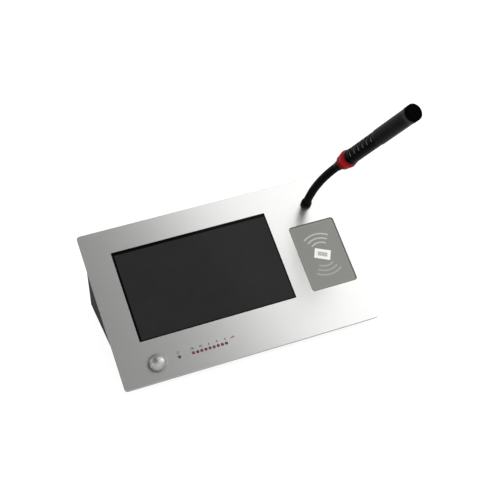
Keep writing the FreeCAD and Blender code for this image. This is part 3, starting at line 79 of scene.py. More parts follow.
# The tilted panel, from the knob's centre on its face: to the right, up its slope, out of it
RIGHT = Vector((1, 0, 0))
PANEL_OUT = Vector(JOINTS["knob_turn"]["axis"]).normalized()
SLOPE = PANEL_OUT.cross(RIGHT)
PANEL = axes(Vector(JOINTS["knob_turn"]["pos_m"]), RIGHT, SLOPE, PANEL_OUT)

# The rear wall, from the switch's hinge line: to the right as seen from behind, up it, and out of it
WALL_UP = Vector(JOINTS["rocker_tilt"]["axis"]).normalized()
WALL_OUT = WALL_UP.cross(RIGHT)
WALL = axes(Vector(JOINTS["rocker_tilt"]["pos_m"]), -RIGHT, WALL_UP, WALL_OUT)

# The gooseneck bends evenly in one plane, from the collar to the ferrule of the head
LINK_LENGTH = (NECK_POINTS[1] - NECK_POINTS[0]).length
NECK_LENGTH = LINK_LENGTH * len(NECK_POINTS)
NECK_START = NECK_POINTS[0] - PANEL_OUT * LINK_LENGTH / 2
LAST_LINK = (NECK_POINTS[-1] - NECK_POINTS[-2]).normalized()
NECK_SIDE = (LAST_LINK - PANEL_OUT * LAST_LINK.dot(PANEL_OUT)).normalized()
NECK_TURN = PANEL_OUT.angle(LAST_LINK) * len(NECK_POINTS) / (len(NECK_POINTS) - 1)


def neck_axes(distance):
    """The gooseneck's cross-section this far along it: into the bend, across it, and onwards."""
    angle = NECK_TURN * distance / NECK_LENGTH
    radius = NECK_LENGTH / NECK_TURN
    rise = PANEL_OUT * radius * math.sin(angle)
    middle = NECK_START + rise + NECK_SIDE * radius * (1 - math.cos(angle))
    inwards = NECK_SIDE * math.cos(angle) - PANEL_OUT * math.sin(angle)
    onwards = PANEL_OUT * math.cos(angle) + NECK_SIDE * math.sin(angle)
    return axes(middle, inwards, onwards.cross(inwards), onwards)


HEAD = neck_axes(NECK_LENGTH)


def reach(name, place):
    """The lowest and highest corner of a CAD node, measured from a place along its axes."""
    back = place.inverted()
    points = [back @ vertex.co for vertex in frame["nodes"][name].data.vertices]
    low = Vector(min(p[i] for p in points) for i in range(3))
    return low, Vector(max(p[i] for p in points) for i in range(3))


def linear(colour):
    """A hex sRGB colour as linear red, green, blue and alpha."""
    parts = [int(colour[i : i + 2], 16) / 255 for i in (1, 3, 5)]
    return tuple(p / 12.92 if p <= 0.04045 else ((p + 0.055) / 1.055) ** 2.4 for p in parts) + (1.0,)


def add(tree, kind, inputs=None, **settings):
    """Adds a node with its settings, and sets each named input or links it to an output."""
    node = tree.nodes.new(kind)
    for name, value in settings.items():
        setattr(node, name, value)
    for name, value in (inputs or {}).items():
        if isinstance(value, bpy.types.NodeSocket):
            tree.links.new(value, node.inputs[name])
        else:
            node.inputs[name].default_value = value
    return node


def points_from(tree, place):
    """The surface's own points, measured from a place along its axes."""
    here = add(tree, "ShaderNodeTexCoord").outputs["Object"]
    turn = place.to_euler()
    inputs = {"Vector": here, "Location": place.translation, "Rotation": turn}
    return add(tree, "ShaderNodeMapping", inputs, vector_type="TEXTURE").outputs["Vector"]


def rings_from(tree, place):
    """Points that are the same all round an axis: distance from it, and distance along it."""
    part = add(tree, "ShaderNodeSeparateXYZ", {"Vector": points_from(tree, place)})
    pair = {0: part.outputs["X"], 1: part.outputs["X"]}
    square = add(tree, "ShaderNodeMath", pair, operation="MULTIPLY")
    both = {0: part.outputs["Y"], 1: part.outputs["Y"], 2: square.outputs[0]}
    total = add(tree, "ShaderNodeMath", both, operation="MULTIPLY_ADD")
    away = add(tree, "ShaderNodeMath", {0: total.outputs[0]}, operation="SQRT")
    flat = {"X": away.outputs[0], "Z": part.outputs["Z"]}
    return add(tree, "ShaderNodeCombineXYZ", flat).outputs["Vector"]


def grain(tree, size, stretch=(1, 1, 1), points=None, clouds=0.25):
    """A height from 0 to 1: grain of this size, stretched along the axes, over faint broad clouds."""
    points = points or add(tree, "ShaderNodeTexCoord").outputs["Object"]
    scale = [1 / (size * part) for part in stretch]
    spread = add(tree, "ShaderNodeMapping", {"Vector": points, "Scale": scale}).outputs["Vector"]
    fine = add(tree, "ShaderNodeTexNoise", {"Vector": spread, "Scale": 1.0, "Detail": 2.0})
    broad = add(tree, "ShaderNodeTexNoise", {"Vector": points, "Scale": 30.0, "Detail": 2.0})
    both = {0: clouds, 2: fine.outputs[0], 3: broad.outputs[0]}
    mixed = add(tree, "ShaderNodeMix", both, data_type="FLOAT").outputs[0]
    ends = {"Value": mixed, "From Min": 0.3, "From Max": 0.7}
    return add(tree, "ShaderNodeMapRange", ends).outputs[0]


def surface(tree, height, colour, roughness, relief, inputs=None):
    """Joins a pattern to one shader: its height sets the roughness and stands up by the relief."""
    if not isinstance(colour, bpy.types.NodeSocket):
        tones = {0: height, 6: linear(colour[0]), 7: linear(colour[1])}
        colour = add(tree, "ShaderNodeMix", tones, data_type="RGBA").outputs[2]
    ends = {"Value": height, "To Min": roughness[0], "To Max": roughness[1]}
    rough = add(tree, "ShaderNodeMapRange", ends).outputs[0]
    bump = add(tree, "ShaderNodeBump", {"Height": height, "Distance": relief}).outputs["Normal"]
    looks = {"Base Color": colour, "Roughness": rough, "Normal": bump}
    shader = add(tree, "ShaderNodeBsdfPrincipled", {**looks, **(inputs or {})})
    add(tree, "ShaderNodeOutputMaterial", {"Surface": shader.outputs["BSDF"]})


def finish(draw):
    """Makes a material the first time it is asked for, and finds it by its name after that."""

    def find():
        made = bpy.data.materials.get(draw.__name__)
        if made is None:
            made = bpy.data.materials.new(draw.__name__)
            made.use_nodes = True
            made.node_tree.nodes.clear()
            draw(made.node_tree)
        return made

    return find


@finish
def brushed_anodised_aluminium(tree):
    # Brushed from side to side and clear anodised: pale and satin, with long straight hairlines.
    # The real hairlines are about 0.05 mm wide; they are drawn 0.4 mm wide so that they show.
    # The plate's edges, below the face, are darker than the face: painted shade for the side faces,
    # which turn away from the light.
    lines = grain(tree, 0.4 * MM, (180, 1, 1), points_from(tree, PANEL), 0.0)
    height = add(tree, "ShaderNodeSeparateXYZ", {"Vector": points_from(tree, PANEL)}).outputs["Z"]
    face = add(tree, "ShaderNodeMath", {0: height, 1: -0.1 * MM}, operation="GREATER_THAN").outputs[0]
    tones = {0: lines, 6: linear("#C5C6C4"), 7: linear("#C8C8C6")}
    brushed = add(tree, "ShaderNodeMix", tones, data_type="RGBA").outputs[2]
    # The edge tone is painted shade on the plate's side faces.
    parts = {0: face, 6: linear("#5C5D5C"), 7: brushed}
    colour = add(tree, "ShaderNodeMix", parts, data_type="RGBA").outputs[2]
    surface(tree, lines, colour, (0.255, 0.27), 0.0001 * MM, {"Metallic": 1.0})


@finish
def turned_satin_aluminium(tree):
    # Turned on a lathe: faint rings round the knob's axis that spread each highlight into a fan.
    # The real tool marks are about 0.05 mm apart; they are drawn 0.25 mm apart so that they show.
    rings = grain(tree, 0.25 * MM, (1, 1, 1), rings_from(tree, PANEL), 0.1)
    surface(tree, rings, ("#8F908E", "#A9AAA8"), (0.32, 0.42), 0.003 * MM, {"Metallic": 1.0})


@finish
def zinc_plated_steel(tree):
    # Zinc over steel: a cool grey with dull and bright crystals a millimetre or two across.
    crystals = grain(tree, 1.4 * MM)
    surface(tree, crystals, ("#8C9195", "#ADB2B6"), (0.24, 0.44), 0.002 * MM, {"Metallic": 1.0})


@finish
def powder_coated_steel(tree):
    # Black powder paint baked onto folded steel: an orange peel of soft bumps about 0.9 mm across.
    peel = grain(tree, 0.9 * MM)
    looks = {"IOR": 1.5, "Specular IOR Level": 0.04}
    surface(tree, peel, ("#0A0A0B", "#111113"), (0.58, 0.7), 0.02 * MM, looks)


@finish
def lacquered_spring_steel(tree):
    # The gooseneck's wound wire under black lacquer: semi-matt, rubbed a little where it is handled.
    rubbed = grain(tree, 0.6 * MM, clouds=0.5)
    looks = {"IOR": 1.5, "Specular IOR Level": 0.03}
    surface(tree, rubbed, ("#020202", "#050505"), (0.36, 0.5), 0.004 * MM, looks)


@finish
def black_anodised_aluminium(tree):
    # Bead blasted, then dyed black in its oxide: a dry, dark sheen with a fine even sparkle.
    # Real blasting is about 0.1 mm fine; it is drawn at 0.35 mm so that it shows.
    blasting = grain(tree, 0.35 * MM)
    looks = {"IOR": 1.76, "Specular IOR Level": 0.02}
    surface(tree, blasting, ("#020202", "#060607"), (0.34, 0.48), 0.006 * MM, looks)


@finish
def dead_matt_black_lacquer(tree):
    # The microphone's end cap under matting lacquer: its face is the blackest place, with hardly any
    # sheen, and its skirt next to the grille is a dark grey satin whose lighter grey is a painted
    # highlight.
    grit = grain(tree, 0.4 * MM)
    high = reach("mic_end_cap", HEAD)[1]
    along = add(tree, "ShaderNodeSeparateXYZ", {"Vector": points_from(tree, HEAD)}).outputs["Z"]
    ends = {"Value": along, "From Min": high.z - 5.0 * MM, "From Max": high.z - 3.2 * MM}
    ends.update({"To Min": 1.0, "To Max": 0.0})
    skirt = add(tree, "ShaderNodeMapRange", ends, interpolation_type="SMOOTHSTEP").outputs[0]
    # The skirt's lighter grey is a painted highlight; the sheen below is a real specular level.
    tones = {0: skirt, 6: linear("#060606"), 7: linear("#1B1B1C")}
    colour = add(tree, "ShaderNodeMix", tones, data_type="RGBA").outputs[2]
    sheen = add(tree, "ShaderNodeMath", {0: skirt, 1: 0.2}, operation="MULTIPLY").outputs[0]
    looks = {"IOR": 1.5, "Specular IOR Level": sheen}
    surface(tree, grit, colour, (0.6, 0.7), 0.004 * MM, looks)


@finish
def painted_punched_steel(tree):
    # The grille's thin punched sheet under black paint: smooth between its holes, slightly glossy.
    paint = grain(tree, 0.5 * MM)
    looks = {"IOR": 1.5, "Specular IOR Level": 0.08}
    surface(tree, paint, ("#060607", "#0D0D0E"), (0.32, 0.44), 0.004 * MM, looks)


@finish
def printed_touch_glass(tree):
    # Etched glass over a dark display, given hardly any reflection: its soft dark grey is a painted
    # reflection of the studio, and a deeper black border is printed on its underside, widest along the
    # top.
    sizes = bpy.context.scene.paging_screen
    low, high = reach("screen_glass", PANEL)
    part = add(tree, "ShaderNodeSeparateXYZ", {"Vector": points_from(tree, PANEL)})
    sides = [
        ("X", low.x + sizes.border_left, high.x - sizes.border_right),
        ("Y", low.y + sizes.border_bottom, high.y - sizes.border_top),
    ]
    out = []
    for axis, start, end in sides:
        aside = {0: part.outputs[axis], 1: (start + end) / 2}
        centred = add(tree, "ShaderNodeMath", aside, operation="SUBTRACT").outputs[0]
        away = add(tree, "ShaderNodeMath", {0: centred}, operation="ABSOLUTE").outputs[0]
        past = {0: away, 1: (end - start) / 2}
        out.append(add(tree, "ShaderNodeMath", past, operation="SUBTRACT").outputs[0])
    furthest = add(tree, "ShaderNodeMath", {0: out[0], 1: out[1]}, operation="MAXIMUM").outputs[0]
    border = add(tree, "ShaderNodeMath", {0: furthest, 1: 0.0}, operation="GREATER_THAN").outputs[0]
    smears = grain(tree, 14 * MM, clouds=0.4)
    # The display area's dark grey is a painted reflection; the smears vary it a little.
    tones = {0: smears, 6: linear("#262626"), 7: linear("#292929")}
    dark = add(tree, "ShaderNodeMix", tones, data_type="RGBA").outputs[2]
    layers = {0: border, 6: dark, 7: linear("#060606")}
    colour = add(tree, "ShaderNodeMix", layers, data_type="RGBA").outputs[2]
    surface(tree, smears, colour, (0.1, 0.16), 0.0002 * MM, {"IOR": 1.5, "Specular IOR Level": 0.04})


@finish
def pressed_tin_case(tree):
    # The display's pressed tray: thin rolled metal, dull, with faint rolling lines along it.
    rolling = grain(tree, 0.5 * MM, (60, 1, 1), points_from(tree, PANEL))
    surface(tree, rolling, ("#9FA1A2", "#B9BBBC"), (0.3, 0.42), 0.002 * MM, {"Metallic": 1.0})


@finish
def closed_cell_foam(tree):
    # Cut foam tape: black, quite dull, pitted with cells about 0.5 mm across.
    here = add(tree, "ShaderNodeTexCoord").outputs["Object"]
    cells = add(tree, "ShaderNodeTexVoronoi", {"Vector": here, "Scale": 1 / (0.5 * MM)}).outputs[0]
    surface(tree, cells, ("#0B0B0B", "#1C1C1C"), (0.85, 0.95), 0.08 * MM, {"IOR": 1.4})


@finish
def printed_polycarbonate_film(tree):
    # A velvet polycarbonate film with grey printed on its back: even and matt, with a fine tooth.
    # The real tooth is about 0.1 mm; it is drawn at 0.4 mm so that it shows.
    tooth = grain(tree, 0.4 * MM)
    looks = {"IOR": 1.58, "Specular IOR Level": 0.2}
    surface(tree, tooth, ("#7A7B76", "#82837E"), (0.52, 0.66), 0.006 * MM, looks)


@finish
def solder_masked_fibreglass(tree):
    # Green lacquer over etched copper: tracks show as paler green lines, and pads as small gilt dots.
    here = add(tree, "ShaderNodeTexCoord").outputs["Object"]
    rows = {"Vector": here, "Scale": 1.0, "Mortar Size": 0.22 * MM, "Mortar Smooth": 0.1}
    rows.update({"Brick Width": 9 * MM, "Row Height": 1.1 * MM})
    tracks = add(tree, "ShaderNodeTexBrick", rows, offset=0.37).outputs["Fac"]
    spots = {"Vector": here, "Scale": 1 / (3.2 * MM), "Randomness": 0.7}
    near = add(tree, "ShaderNodeTexVoronoi", spots).outputs["Distance"]
    pads = add(tree, "ShaderNodeMath", {0: near, 1: 0.13}, operation="LESS_THAN").outputs[0]
    lacquer = {0: tracks, 6: linear("#0F4A26"), 7: linear("#256B3D")}
    green = add(tree, "ShaderNodeMix", lacquer, data_type="RGBA").outputs[2]
    gilt = {0: pads, 6: green, 7: linear("#C9A24A")}
    colour = add(tree, "ShaderNodeMix", gilt, data_type="RGBA").outputs[2]
    surface(tree, tracks, colour, (0.28, 0.34), 0.03 * MM, {"IOR": 1.5})


@finish
def etched_copper(tree):
    # Bare copper foil: pink-brown, a little stained by handling.
    stain = grain(tree, 2.5 * MM)
    surface(tree, stain, ("#A8623F", "#C98259"), (0.26, 0.42), 0.002 * MM, {"Metallic": 1.0})


@finish
def gold_flashed_wire(tree):
    # A thin gold flash on spring wire: warm yellow, drawn lines along its length.
    drawn = grain(tree, 0.2 * MM, (1, 20, 1))
    surface(tree, drawn, ("#C79A45", "#E0B765"), (0.2, 0.3), 0.002 * MM, {"Metallic": 1.0})


@finish
def turned_brass(tree):
    # Free-cutting brass from the bar: yellow, with fine tool rings and slight tarnish.
    rings = grain(tree, 0.35 * MM, (1, 1, 8))
    surface(tree, rings, ("#9A7B3C", "#C3A158"), (0.22, 0.36), 0.004 * MM, {"Metallic": 1.0})


@finish
def moulded_abs(tree):
    # Black ABS from a spark-eroded mould: matt, with a fine even texture about 0.3 mm across.
    spark = grain(tree, 0.3 * MM)
    surface(tree, spark, ("#111112", "#1B1B1C"), (0.48, 0.6), 0.015 * MM, {"IOR": 1.53})


@finish
def polished_abs(tree):
    # The switch's rocker from a polished mould: glossy black that picks up soft reflections.
    flow = grain(tree, 3 * MM)
    surface(tree, flow, ("#0B0B0C", "#131314"), (0.12, 0.2), 0.002 * MM, {"IOR": 1.53})


@finish
def moulded_nylon(tree):
    # Natural nylon headers: milky white, slightly see-through at the edges, waxy.
    wax = grain(tree, 0.8 * MM)
    looks = {"IOR": 1.53, "Subsurface Weight": 0.2, "Subsurface Radius": (0.6 * MM,) * 3}
    surface(tree, wax, ("#CFCBBE", "#E2DFD4"), (0.4, 0.52), 0.008 * MM, looks)


@finish
def moulded_epoxy(tree):
    # Chip packages: dark grey epoxy with a fine sandy mould texture.
    sand = grain(tree, 0.25 * MM)
    surface(tree, sand, ("#1A1A1B", "#262628"), (0.5, 0.64), 0.01 * MM, {"IOR": 1.55})


@finish
def tinted_acrylic_lens(tree):
    # Unlit lamps in red acrylic: a deep red that varies a little at random, with a small gloss.
    depth = grain(tree, 0.6 * MM)
    looks = {"IOR": 1.49, "Coat Weight": 0.4, "Coat Roughness": 0.08}
    surface(tree, depth, ("#5E0A1C", "#7E1228"), (0.2, 0.3), 0.002 * MM, looks)


@finish
def diffusing_red_polycarbonate(tree):
    # The head's light ring: cloudy red polycarbonate, deep red at both ends, and alive round its lip,
    # two thirds of the way along it, where it lies nearest to the lamps inside; that glow is partly
    # the lamps' light and partly a painted highlight.
    cloud = grain(tree, 1.2 * MM)
    low, high = reach("light_ring", HEAD)
    along = add(tree, "ShaderNodeSeparateXYZ", {"Vector": points_from(tree, HEAD)}).outputs["Z"]
    lip = low.z + (high.z - low.z) * 0.66
    aside = add(tree, "ShaderNodeMath", {0: along, 1: lip}, operation="SUBTRACT").outputs[0]
    away = add(tree, "ShaderNodeMath", {0: aside}, operation="ABSOLUTE").outputs[0]
    # This glow band is partly the ring's own lamp light and partly a painted highlight along its lip.
    ends = {"Value": away, "From Max": 7 * MM, "To Min": 0.23, "To Max": 0.0}
    glow = add(tree, "ShaderNodeMapRange", ends, interpolation_type="SMOOTHSTEP").outputs[0]
    looks = {"IOR": 1.58, "Specular IOR Level": 0.03}
    looks.update({"Emission Color": linear("#F0202C"), "Emission Strength": glow})
    surface(tree, cloud, ("#4C0409", "#60070D"), (0.4, 0.5), 0.004 * MM, looks)


@finish
def moulded_rubber(tree):
    # Black rubber: dull, dry and slightly dusty, with a fine mould grain.
    dust = grain(tree, 0.5 * MM, clouds=0.4)
    surface(tree, dust, ("#121212", "#202020"), (0.72, 0.86), 0.02 * MM, {"IOR": 1.52})


@finish
def drawn_aluminium_can(tree):
    # Capacitor cans: bright drawn aluminium with faint upright lines down their sides.
    drawn = grain(tree, 0.25 * MM, (1, 1, 30))
    surface(tree, drawn, ("#B7B9BB", "#D2D4D6"), (0.18, 0.3), 0.002 * MM, {"Metallic": 1.0})


@finish
def woven_acoustic_cloth(tree):
    # Black cloth that lets sound through: a plain weave of threads 0.5 mm apart, quite dull.
    here = add(tree, "ShaderNodeTexCoord").outputs["Object"]
    sines = {"Vector": here, "Scale": 1 / (0.5 * MM) / 20, "Distortion": 0.5}
    warp = add(tree, "ShaderNodeTexWave", sines, bands_direction="X").outputs["Fac"]
    weft = add(tree, "ShaderNodeTexWave", sines, bands_direction="Z").outputs["Fac"]
    weave = add(tree, "ShaderNodeMath", {0: warp, 1: weft}, operation="MULTIPLY").outputs[0]
    surface(tree, weave, ("#070707", "#1E1E1E"), (0.8, 0.92), 0.06 * MM, {"Sheen Weight": 0.2})


@finish
def painted_highlight_felt(tree):
    # The barrel's lining, seen as grey ticks through its slots: dry and matted; its grey is a painted
    # highlight for the light caught along the barrel's upper flank.
    hairs = grain(tree, 0.3 * MM, (3, 1, 1), clouds=0.4)
    looks = {"IOR": 1.5, "Specular IOR Level": 0.1}
    # The pale grey of these tones is a painted highlight, seen as ticks through the slots.
    surface(tree, hairs, ("#545453", "#6C6C6A"), (0.9, 0.98), 0.05 * MM, looks)


@finish
def pressed_paper_cone(tree):
    # The loudspeaker's cone: dark felted paper with pressed rings round its middle.
    low, high = reach("loudspeaker_cone", WALL)
    centre = WALL @ Matrix.Translation((low + high) / 2)
    away = add(tree, "ShaderNodeSeparateXYZ", {"Vector": rings_from(tree, centre)}).outputs["X"]
    turns = add(tree, "ShaderNodeMath", {0: away, 1: math.tau / (2.5 * MM)}, operation="MULTIPLY")
    ring = add(tree, "ShaderNodeMath", {0: turns.outputs[0]}, operation="SINE").outputs[0]
    fibres = grain(tree, 0.5 * MM)
    mixed = {0: ring, 1: 0.35, 2: fibres}
    both = add(tree, "ShaderNodeMath", mixed, operation="MULTIPLY_ADD").outputs[0]
    surface(tree, both, ("#1A1918", "#2E2C2A"), (0.82, 0.94), 0.12 * MM, {"IOR": 1.5})


@finish
def striped_flat_cable(tree):
    # A flat screen cable: white film with a grey stripe over each of its copper strips, 1 mm apart.
    here = add(tree, "ShaderNodeTexCoord").outputs["Object"]
    bands = {"Vector": here, "Scale": 1 / MM / 20}
    stripes = add(tree, "ShaderNodeTexWave", bands, bands_direction="X").outputs["Fac"]
    surface(tree, stripes, ("#8F9092", "#DADAD6"), (0.3, 0.42), 0.03 * MM, {"IOR": 1.57})


def ink(name, dark, light):
    """Screen printing ink: flat and even, with tiny pores where the mesh of the screen was."""

    def draw(tree):
        pores = grain(tree, 0.2 * MM)
        surface(tree, pores, (dark, light), (0.5, 0.62), 0.004 * MM, {"IOR": 1.5})

    draw.__name__ = name
    return finish(draw)


grey_ink = ink("grey_screen_print", "#1C1C1C", "#282828")
red_ink = ink("red_screen_print", "#8E5A5C", "#9A6A6B")
pale_ink = ink("pale_screen_print", "#A4A6A1", "#AEB0AB")
faint_ink = ink("faint_screen_print", "#92938E", "#9A9B96")
white_ink = ink("white_screen_print", "#DCDDDA", "#E8E9E6")


@finish
def opal_acrylic_light_table(tree):
    # The studio's table of opal acrylic lit from below: nearly pure white, with weak shadows.
    haze = grain(tree, 3 * MM)
    looks = {"Specular IOR Level": 0.1, "Emission Color": linear("#FFFFFF"), "Emission Strength": 0.9}
    surface(tree, haze, ("#7C7C7C", "#808080"), (0.85, 0.95), 0.01 * MM, looks)


def dress(material, *names):
    """Gives CAD nodes their finish."""
    for name in names:
        slots = frame["nodes"][name].data.materials
        slots.clear()
        slots.append(material)


def new_piece(name, mesh, slot, *materials):
    """Puts a new mesh in the scene with its finishes, smooth except where it turns sharply."""
    for material in materials:
        mesh.materials.append(material)
    mesh.shade_smooth()
    mesh.set_sharp_from_angle(angle=SHARP_EDGE)
    piece = bpy.data.objects.new(name, mesh)
    bpy.context.scene.collection.objects.link(piece)
    return piece


def bar(x, y, width, height, turn=0.0):
    """The corners of an upright bar, or of one turned anticlockwise by this angle."""
    right, top = width / 2, height / 2
    corners = [(-right, -top), (right, -top), (right, top), (-right, top)]
    c, s = math.cos(turn), math.sin(turn)
    return [(x + a * c - b * s, y + a * s + b * c) for a, b in corners]


def on_circle(x, y, radius, angles):
    """The points of a circle at these angles."""
    return [(x + radius * math.cos(a), y + radius * math.sin(a)) for a in angles]


def arc(x, y, radius, width, first, last, steps=32):
    """The outline of a line of this width along part of a circle, from one angle to another."""
    angles = [first + (last - first) * i / steps for i in range(steps + 1)]
    outer = on_circle(x, y, radius + width / 2, angles)
    return outer + on_circle(x, y, radius - width / 2, angles)[::-1]


def ring(x, y, radius, width, steps=48):
    """The two outlines of a circle drawn with a line of this width."""
    angles = [math.tau * i / steps for i in range(steps)]
    return [on_circle(x, y, r, angles) for r in (radius + width / 2, radius - width / 2)]


def frame_line(width, height, radius, steps=6):
    """The outline of a rounded rectangle about the middle."""
    points = []
    for quarter, (x, y) in enumerate(((1, 1), (-1, 1), (-1, -1), (1, -1))):
        for i in range(steps + 1):
            angle = math.pi / 2 * (quarter + i / steps)
            across = x * (width / 2 - radius) + radius * math.cos(angle)
            points.append((across, y * (height / 2 - radius) + radius * math.sin(angle)))
    return points


def printed(name, drawing, place, material, slot, body="console"):
    """A thin layer of ink on a flat place: outlines, or a short word as (text, height, x, y)."""
    if isinstance(drawing, tuple):
        word, height, x, y = drawing
        curve = bpy.data.curves.new(name, "FONT")
        curve.body = word
        curve.size = height / CAPITAL
        curve.offset = height * BOLDER
        curve.align_x = "CENTER"
        curve.offset_x, curve.offset_y = x, y
    else:
        curve = bpy.data.curves.new(name, "CURVE")
        curve.dimensions = "2D"
        curve.fill_mode = "BOTH"
        for outline in drawing:
            line = curve.splines.new("POLY")
            line.points.add(len(outline) - 1)
            for point, (x, y) in zip(line.points, outline):
                point.co = (x, y, 0, 1)
            line.use_cyclic_u = True
    curve.extrude = INK / 2
    holder = bpy.data.objects.new(name, curve)
    mesh = bpy.data.meshes.new_from_object(holder)
    bpy.data.objects.remove(holder)
    mesh.materials.clear()
    mesh.transform(place @ Matrix.Translation((0, 0, INK / 2)))
    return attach(new_piece(name, mesh, slot, material), body)


def length(name, description, default):
    return FloatProperty(
        name=name, description=description, default=default * MM, unit="LENGTH", precision=5, min=0.0
    )


def strength(name, description, default):
    return FloatProperty(name=name, description=description, default=default)


class ScreenSizes(bpy.types.PropertyGroup):
    border_top: length("Top border", "Black border along the top of the glass", 3.0)
    border_left: length("Left border", "Black border along the left of the glass", 2.0)
    border_right: length("Right border", "Black border along the right of the glass", 1.0)
    border_bottom: length("Bottom border", "Black border along the bottom of the glass", 1.0)


class LabelSizes(bpy.types.PropertyGroup):
    power_lamp: length("Power lamp", "From the knob's centre to the power lamp", 21.7)
    first_lamp: length("First level lamp", "From the knob's centre to the first level lamp", 35.2)
    lamp_pitch: length("Lamp pitch", "From one level lamp to the next", 4.0)
    number_height: length("Number height", "Height of the scale's numbers", 2.0)
    number_rise: length("Number rise", "From the lamps' centres up to the numbers' feet", 3.4)
    card_width: length("Card width", "Width of the card in the reading zone's symbol", 15.8)
    card_height: length("Card height", "Height of the card in the symbol", 10.2)
    wave_radius: length("Wave radius", "Radius of the innermost wave of the symbol", 12.5)
    wave_pitch: length("Wave pitch", "From one wave of the symbol to the next", 4.6)
    wave_width: length("Wave width", "Width of each wave's line", 1.5)
    frame_inset: length("Frame inset", "From the card zone's edge in to its printed frame", 2.0)
    frame_width: length("Frame width", "Width of the printed frame's line", 0.5)


class NeckSizes(bpy.types.PropertyGroup):
    radius: length("Radius", "Outer radius of the wound tube", 4.0)
    pitch: length("Pitch", "From one turn of the wire to the next", 1.6)
    groove: length("Groove", "Depth of the groove between turns", 0.34)


class GrilleSizes(bpy.types.PropertyGroup):
    hole: length("Hole", "Radius of the punched holes", 0.46)
    pitch: length("Hole pitch", "From one hole to the next round the grille", 1.5)
    depth: length("Cloth depth", "How deep the cloth lies behind the holes", 0.35)
    margin: length("Margin", "Plain band at each end of the grille", 2.6)


class StageSettings(bpy.types.PropertyGroup):
    camera_place: FloatVectorProperty(
        name="Camera place", description="Where the camera stands", subtype="TRANSLATION",
        unit="LENGTH", default=(-0.24241, -0.78616, 0.61969), precision=5,
    )
    camera_turn: FloatVectorProperty(
        name="Camera turn", description="How the camera is turned", subtype="EULER", unit="ROTATION",
        default=(math.radians(57.9684), math.radians(4.7449), math.radians(-20.7492)), precision=5,
    )
    focal_length: FloatProperty(
        name="Focal length", description="The camera's focal length", default=78.66, unit="CAMERA"
    )
    sky_low: strength("Low sky", "Brightness of the studio at eye height", 1.45)
    sky_high: strength("High sky", "Brightness of the studio overhead", 0.34)
    sky_left: strength("Left sky", "Share of that brightness at the left", 0.5)


class PAGING_OT_panel(bpy.types.Operator):
    """Finish the aluminium panel and print its labels"""

    bl_idname = "paging.panel"
    bl_label = "Panel"

    def execute(self, context):
        sizes = context.scene.paging_labels
        dress(brushed_anodised_aluminium(), "front_panel")
        dress(zinc_plated_steel(), "panel_studs", "panel_nuts")
        foot = sizes.number_rise
        for i, number in enumerate(("20", "10", "6", "3", "0")):
            x = sizes.first_lamp + 2 * i * sizes.lamp_pitch
            drawing = (number, sizes.number_height, x, foot)
            printed(f"scale_number_{i + 1}", drawing, PANEL, grey_ink(), "black_plastic")
        top = math.pi / 2
        middle = foot + sizes.number_height / 2
        drawing = [
            arc(sizes.power_lamp, middle, 1.05 * MM, 0.35 * MM, top + 0.6, top + math.tau - 0.6),
            bar(sizes.power_lamp, middle + 0.7 * MM, 0.35 * MM, 1.1 * MM),
        ]
        printed("standby_symbol", drawing, PANEL, grey_ink(), "black_plastic")
        start = sizes.first_lamp + 8.9 * sizes.lamp_pitch
        end = start + 5.5 * MM
        wedge = [(start, foot), (end, foot), (end, foot + sizes.number_height)]
        printed("level_wedge", [wedge], PANEL, red_ink(), "red_lens")
        return {"FINISHED"}


class PAGING_OT_screen(bpy.types.Operator):
    """Finish the touch screen and what holds it"""

    bl_idname = "paging.screen"
    bl_label = "Screen"

    def execute(self, context):
        dress(printed_touch_glass(), "screen_glass")
        dress(closed_cell_foam(), "screen_frame")
        dress(pressed_tin_case(), "display_module")
        dress(zinc_plated_steel(), "display_bracket")
        dress(striped_flat_cable(), "screen_ribbon")
        return {"FINISHED"}


class PAGING_OT_card_zone(bpy.types.Operator):
    """Finish the card reading zone and print its symbol"""

    bl_idname = "paging.card_zone"
    bl_label = "Card Zone"

    def execute(self, context):
        sizes = context.scene.paging_labels
        dress(printed_polycarbonate_film(), "card_plate")
        dress(solder_masked_fibreglass(), "reader_board")
        dress(etched_copper(), "reader_coil")
        low, high = reach("card_plate", PANEL)
        place = PANEL @ Matrix.Translation(((low.x + high.x) / 2, (low.y + high.y) / 2, high.z))
        turn = math.radians(-25)
        spread = 0.62  # half the angle that each wave spans
        window = bar(0, 0, sizes.card_width * 0.6, sizes.card_height * 0.42, turn)
        card = [bar(0, 0, sizes.card_width, sizes.card_height, turn), window]
        printed("card_symbol", card, place, white_ink(), "white_plastic")
        printed("card_symbol_window", [window], place, pale_ink(), "white_plastic")
        wide, deep = high.x - low.x - 2 * sizes.frame_inset, high.y - low.y - 2 * sizes.frame_inset
        inner = frame_line(wide - sizes.frame_width, deep - sizes.frame_width, 2 * MM)
        lines = [frame_line(wide, deep, 2 * MM), inner]
        printed("card_frame", lines, place, faint_ink(), "grey_inlay")
        for i in range(3):
            radius = sizes.wave_radius + i * sizes.wave_pitch
            for name, middle, tone in (
                ("upper", math.pi / 2, pale_ink()),
                ("lower", -math.pi / 2, faint_ink()),
            ):
                wave = arc(0, 0, radius, sizes.wave_width, middle - spread, middle + spread)
                printed(f"{name}_wave_{i + 1}", [wave], place, tone, "white_plastic")
        return {"FINISHED"}


class PAGING_OT_controls(bpy.types.Operator):
    """Finish the knob, its encoder and the lamps"""

    bl_idname = "paging.controls"
    bl_label = "Knob and Lamps"

    def execute(self, context):
        dress(turned_satin_aluminium(), "knob", "knob_bezel", "encoder_shaft")
        dress(moulded_abs(), "encoder_rotor")
        dress(zinc_plated_steel(), "encoder_body")
        dress(turned_brass(), "encoder_nut")
        dress(tinted_acrylic_lens(), "power_lamp", "level_lamps")
        dress(solder_masked_fibreglass(), "lamp_board")
        return {"FINISHED"}


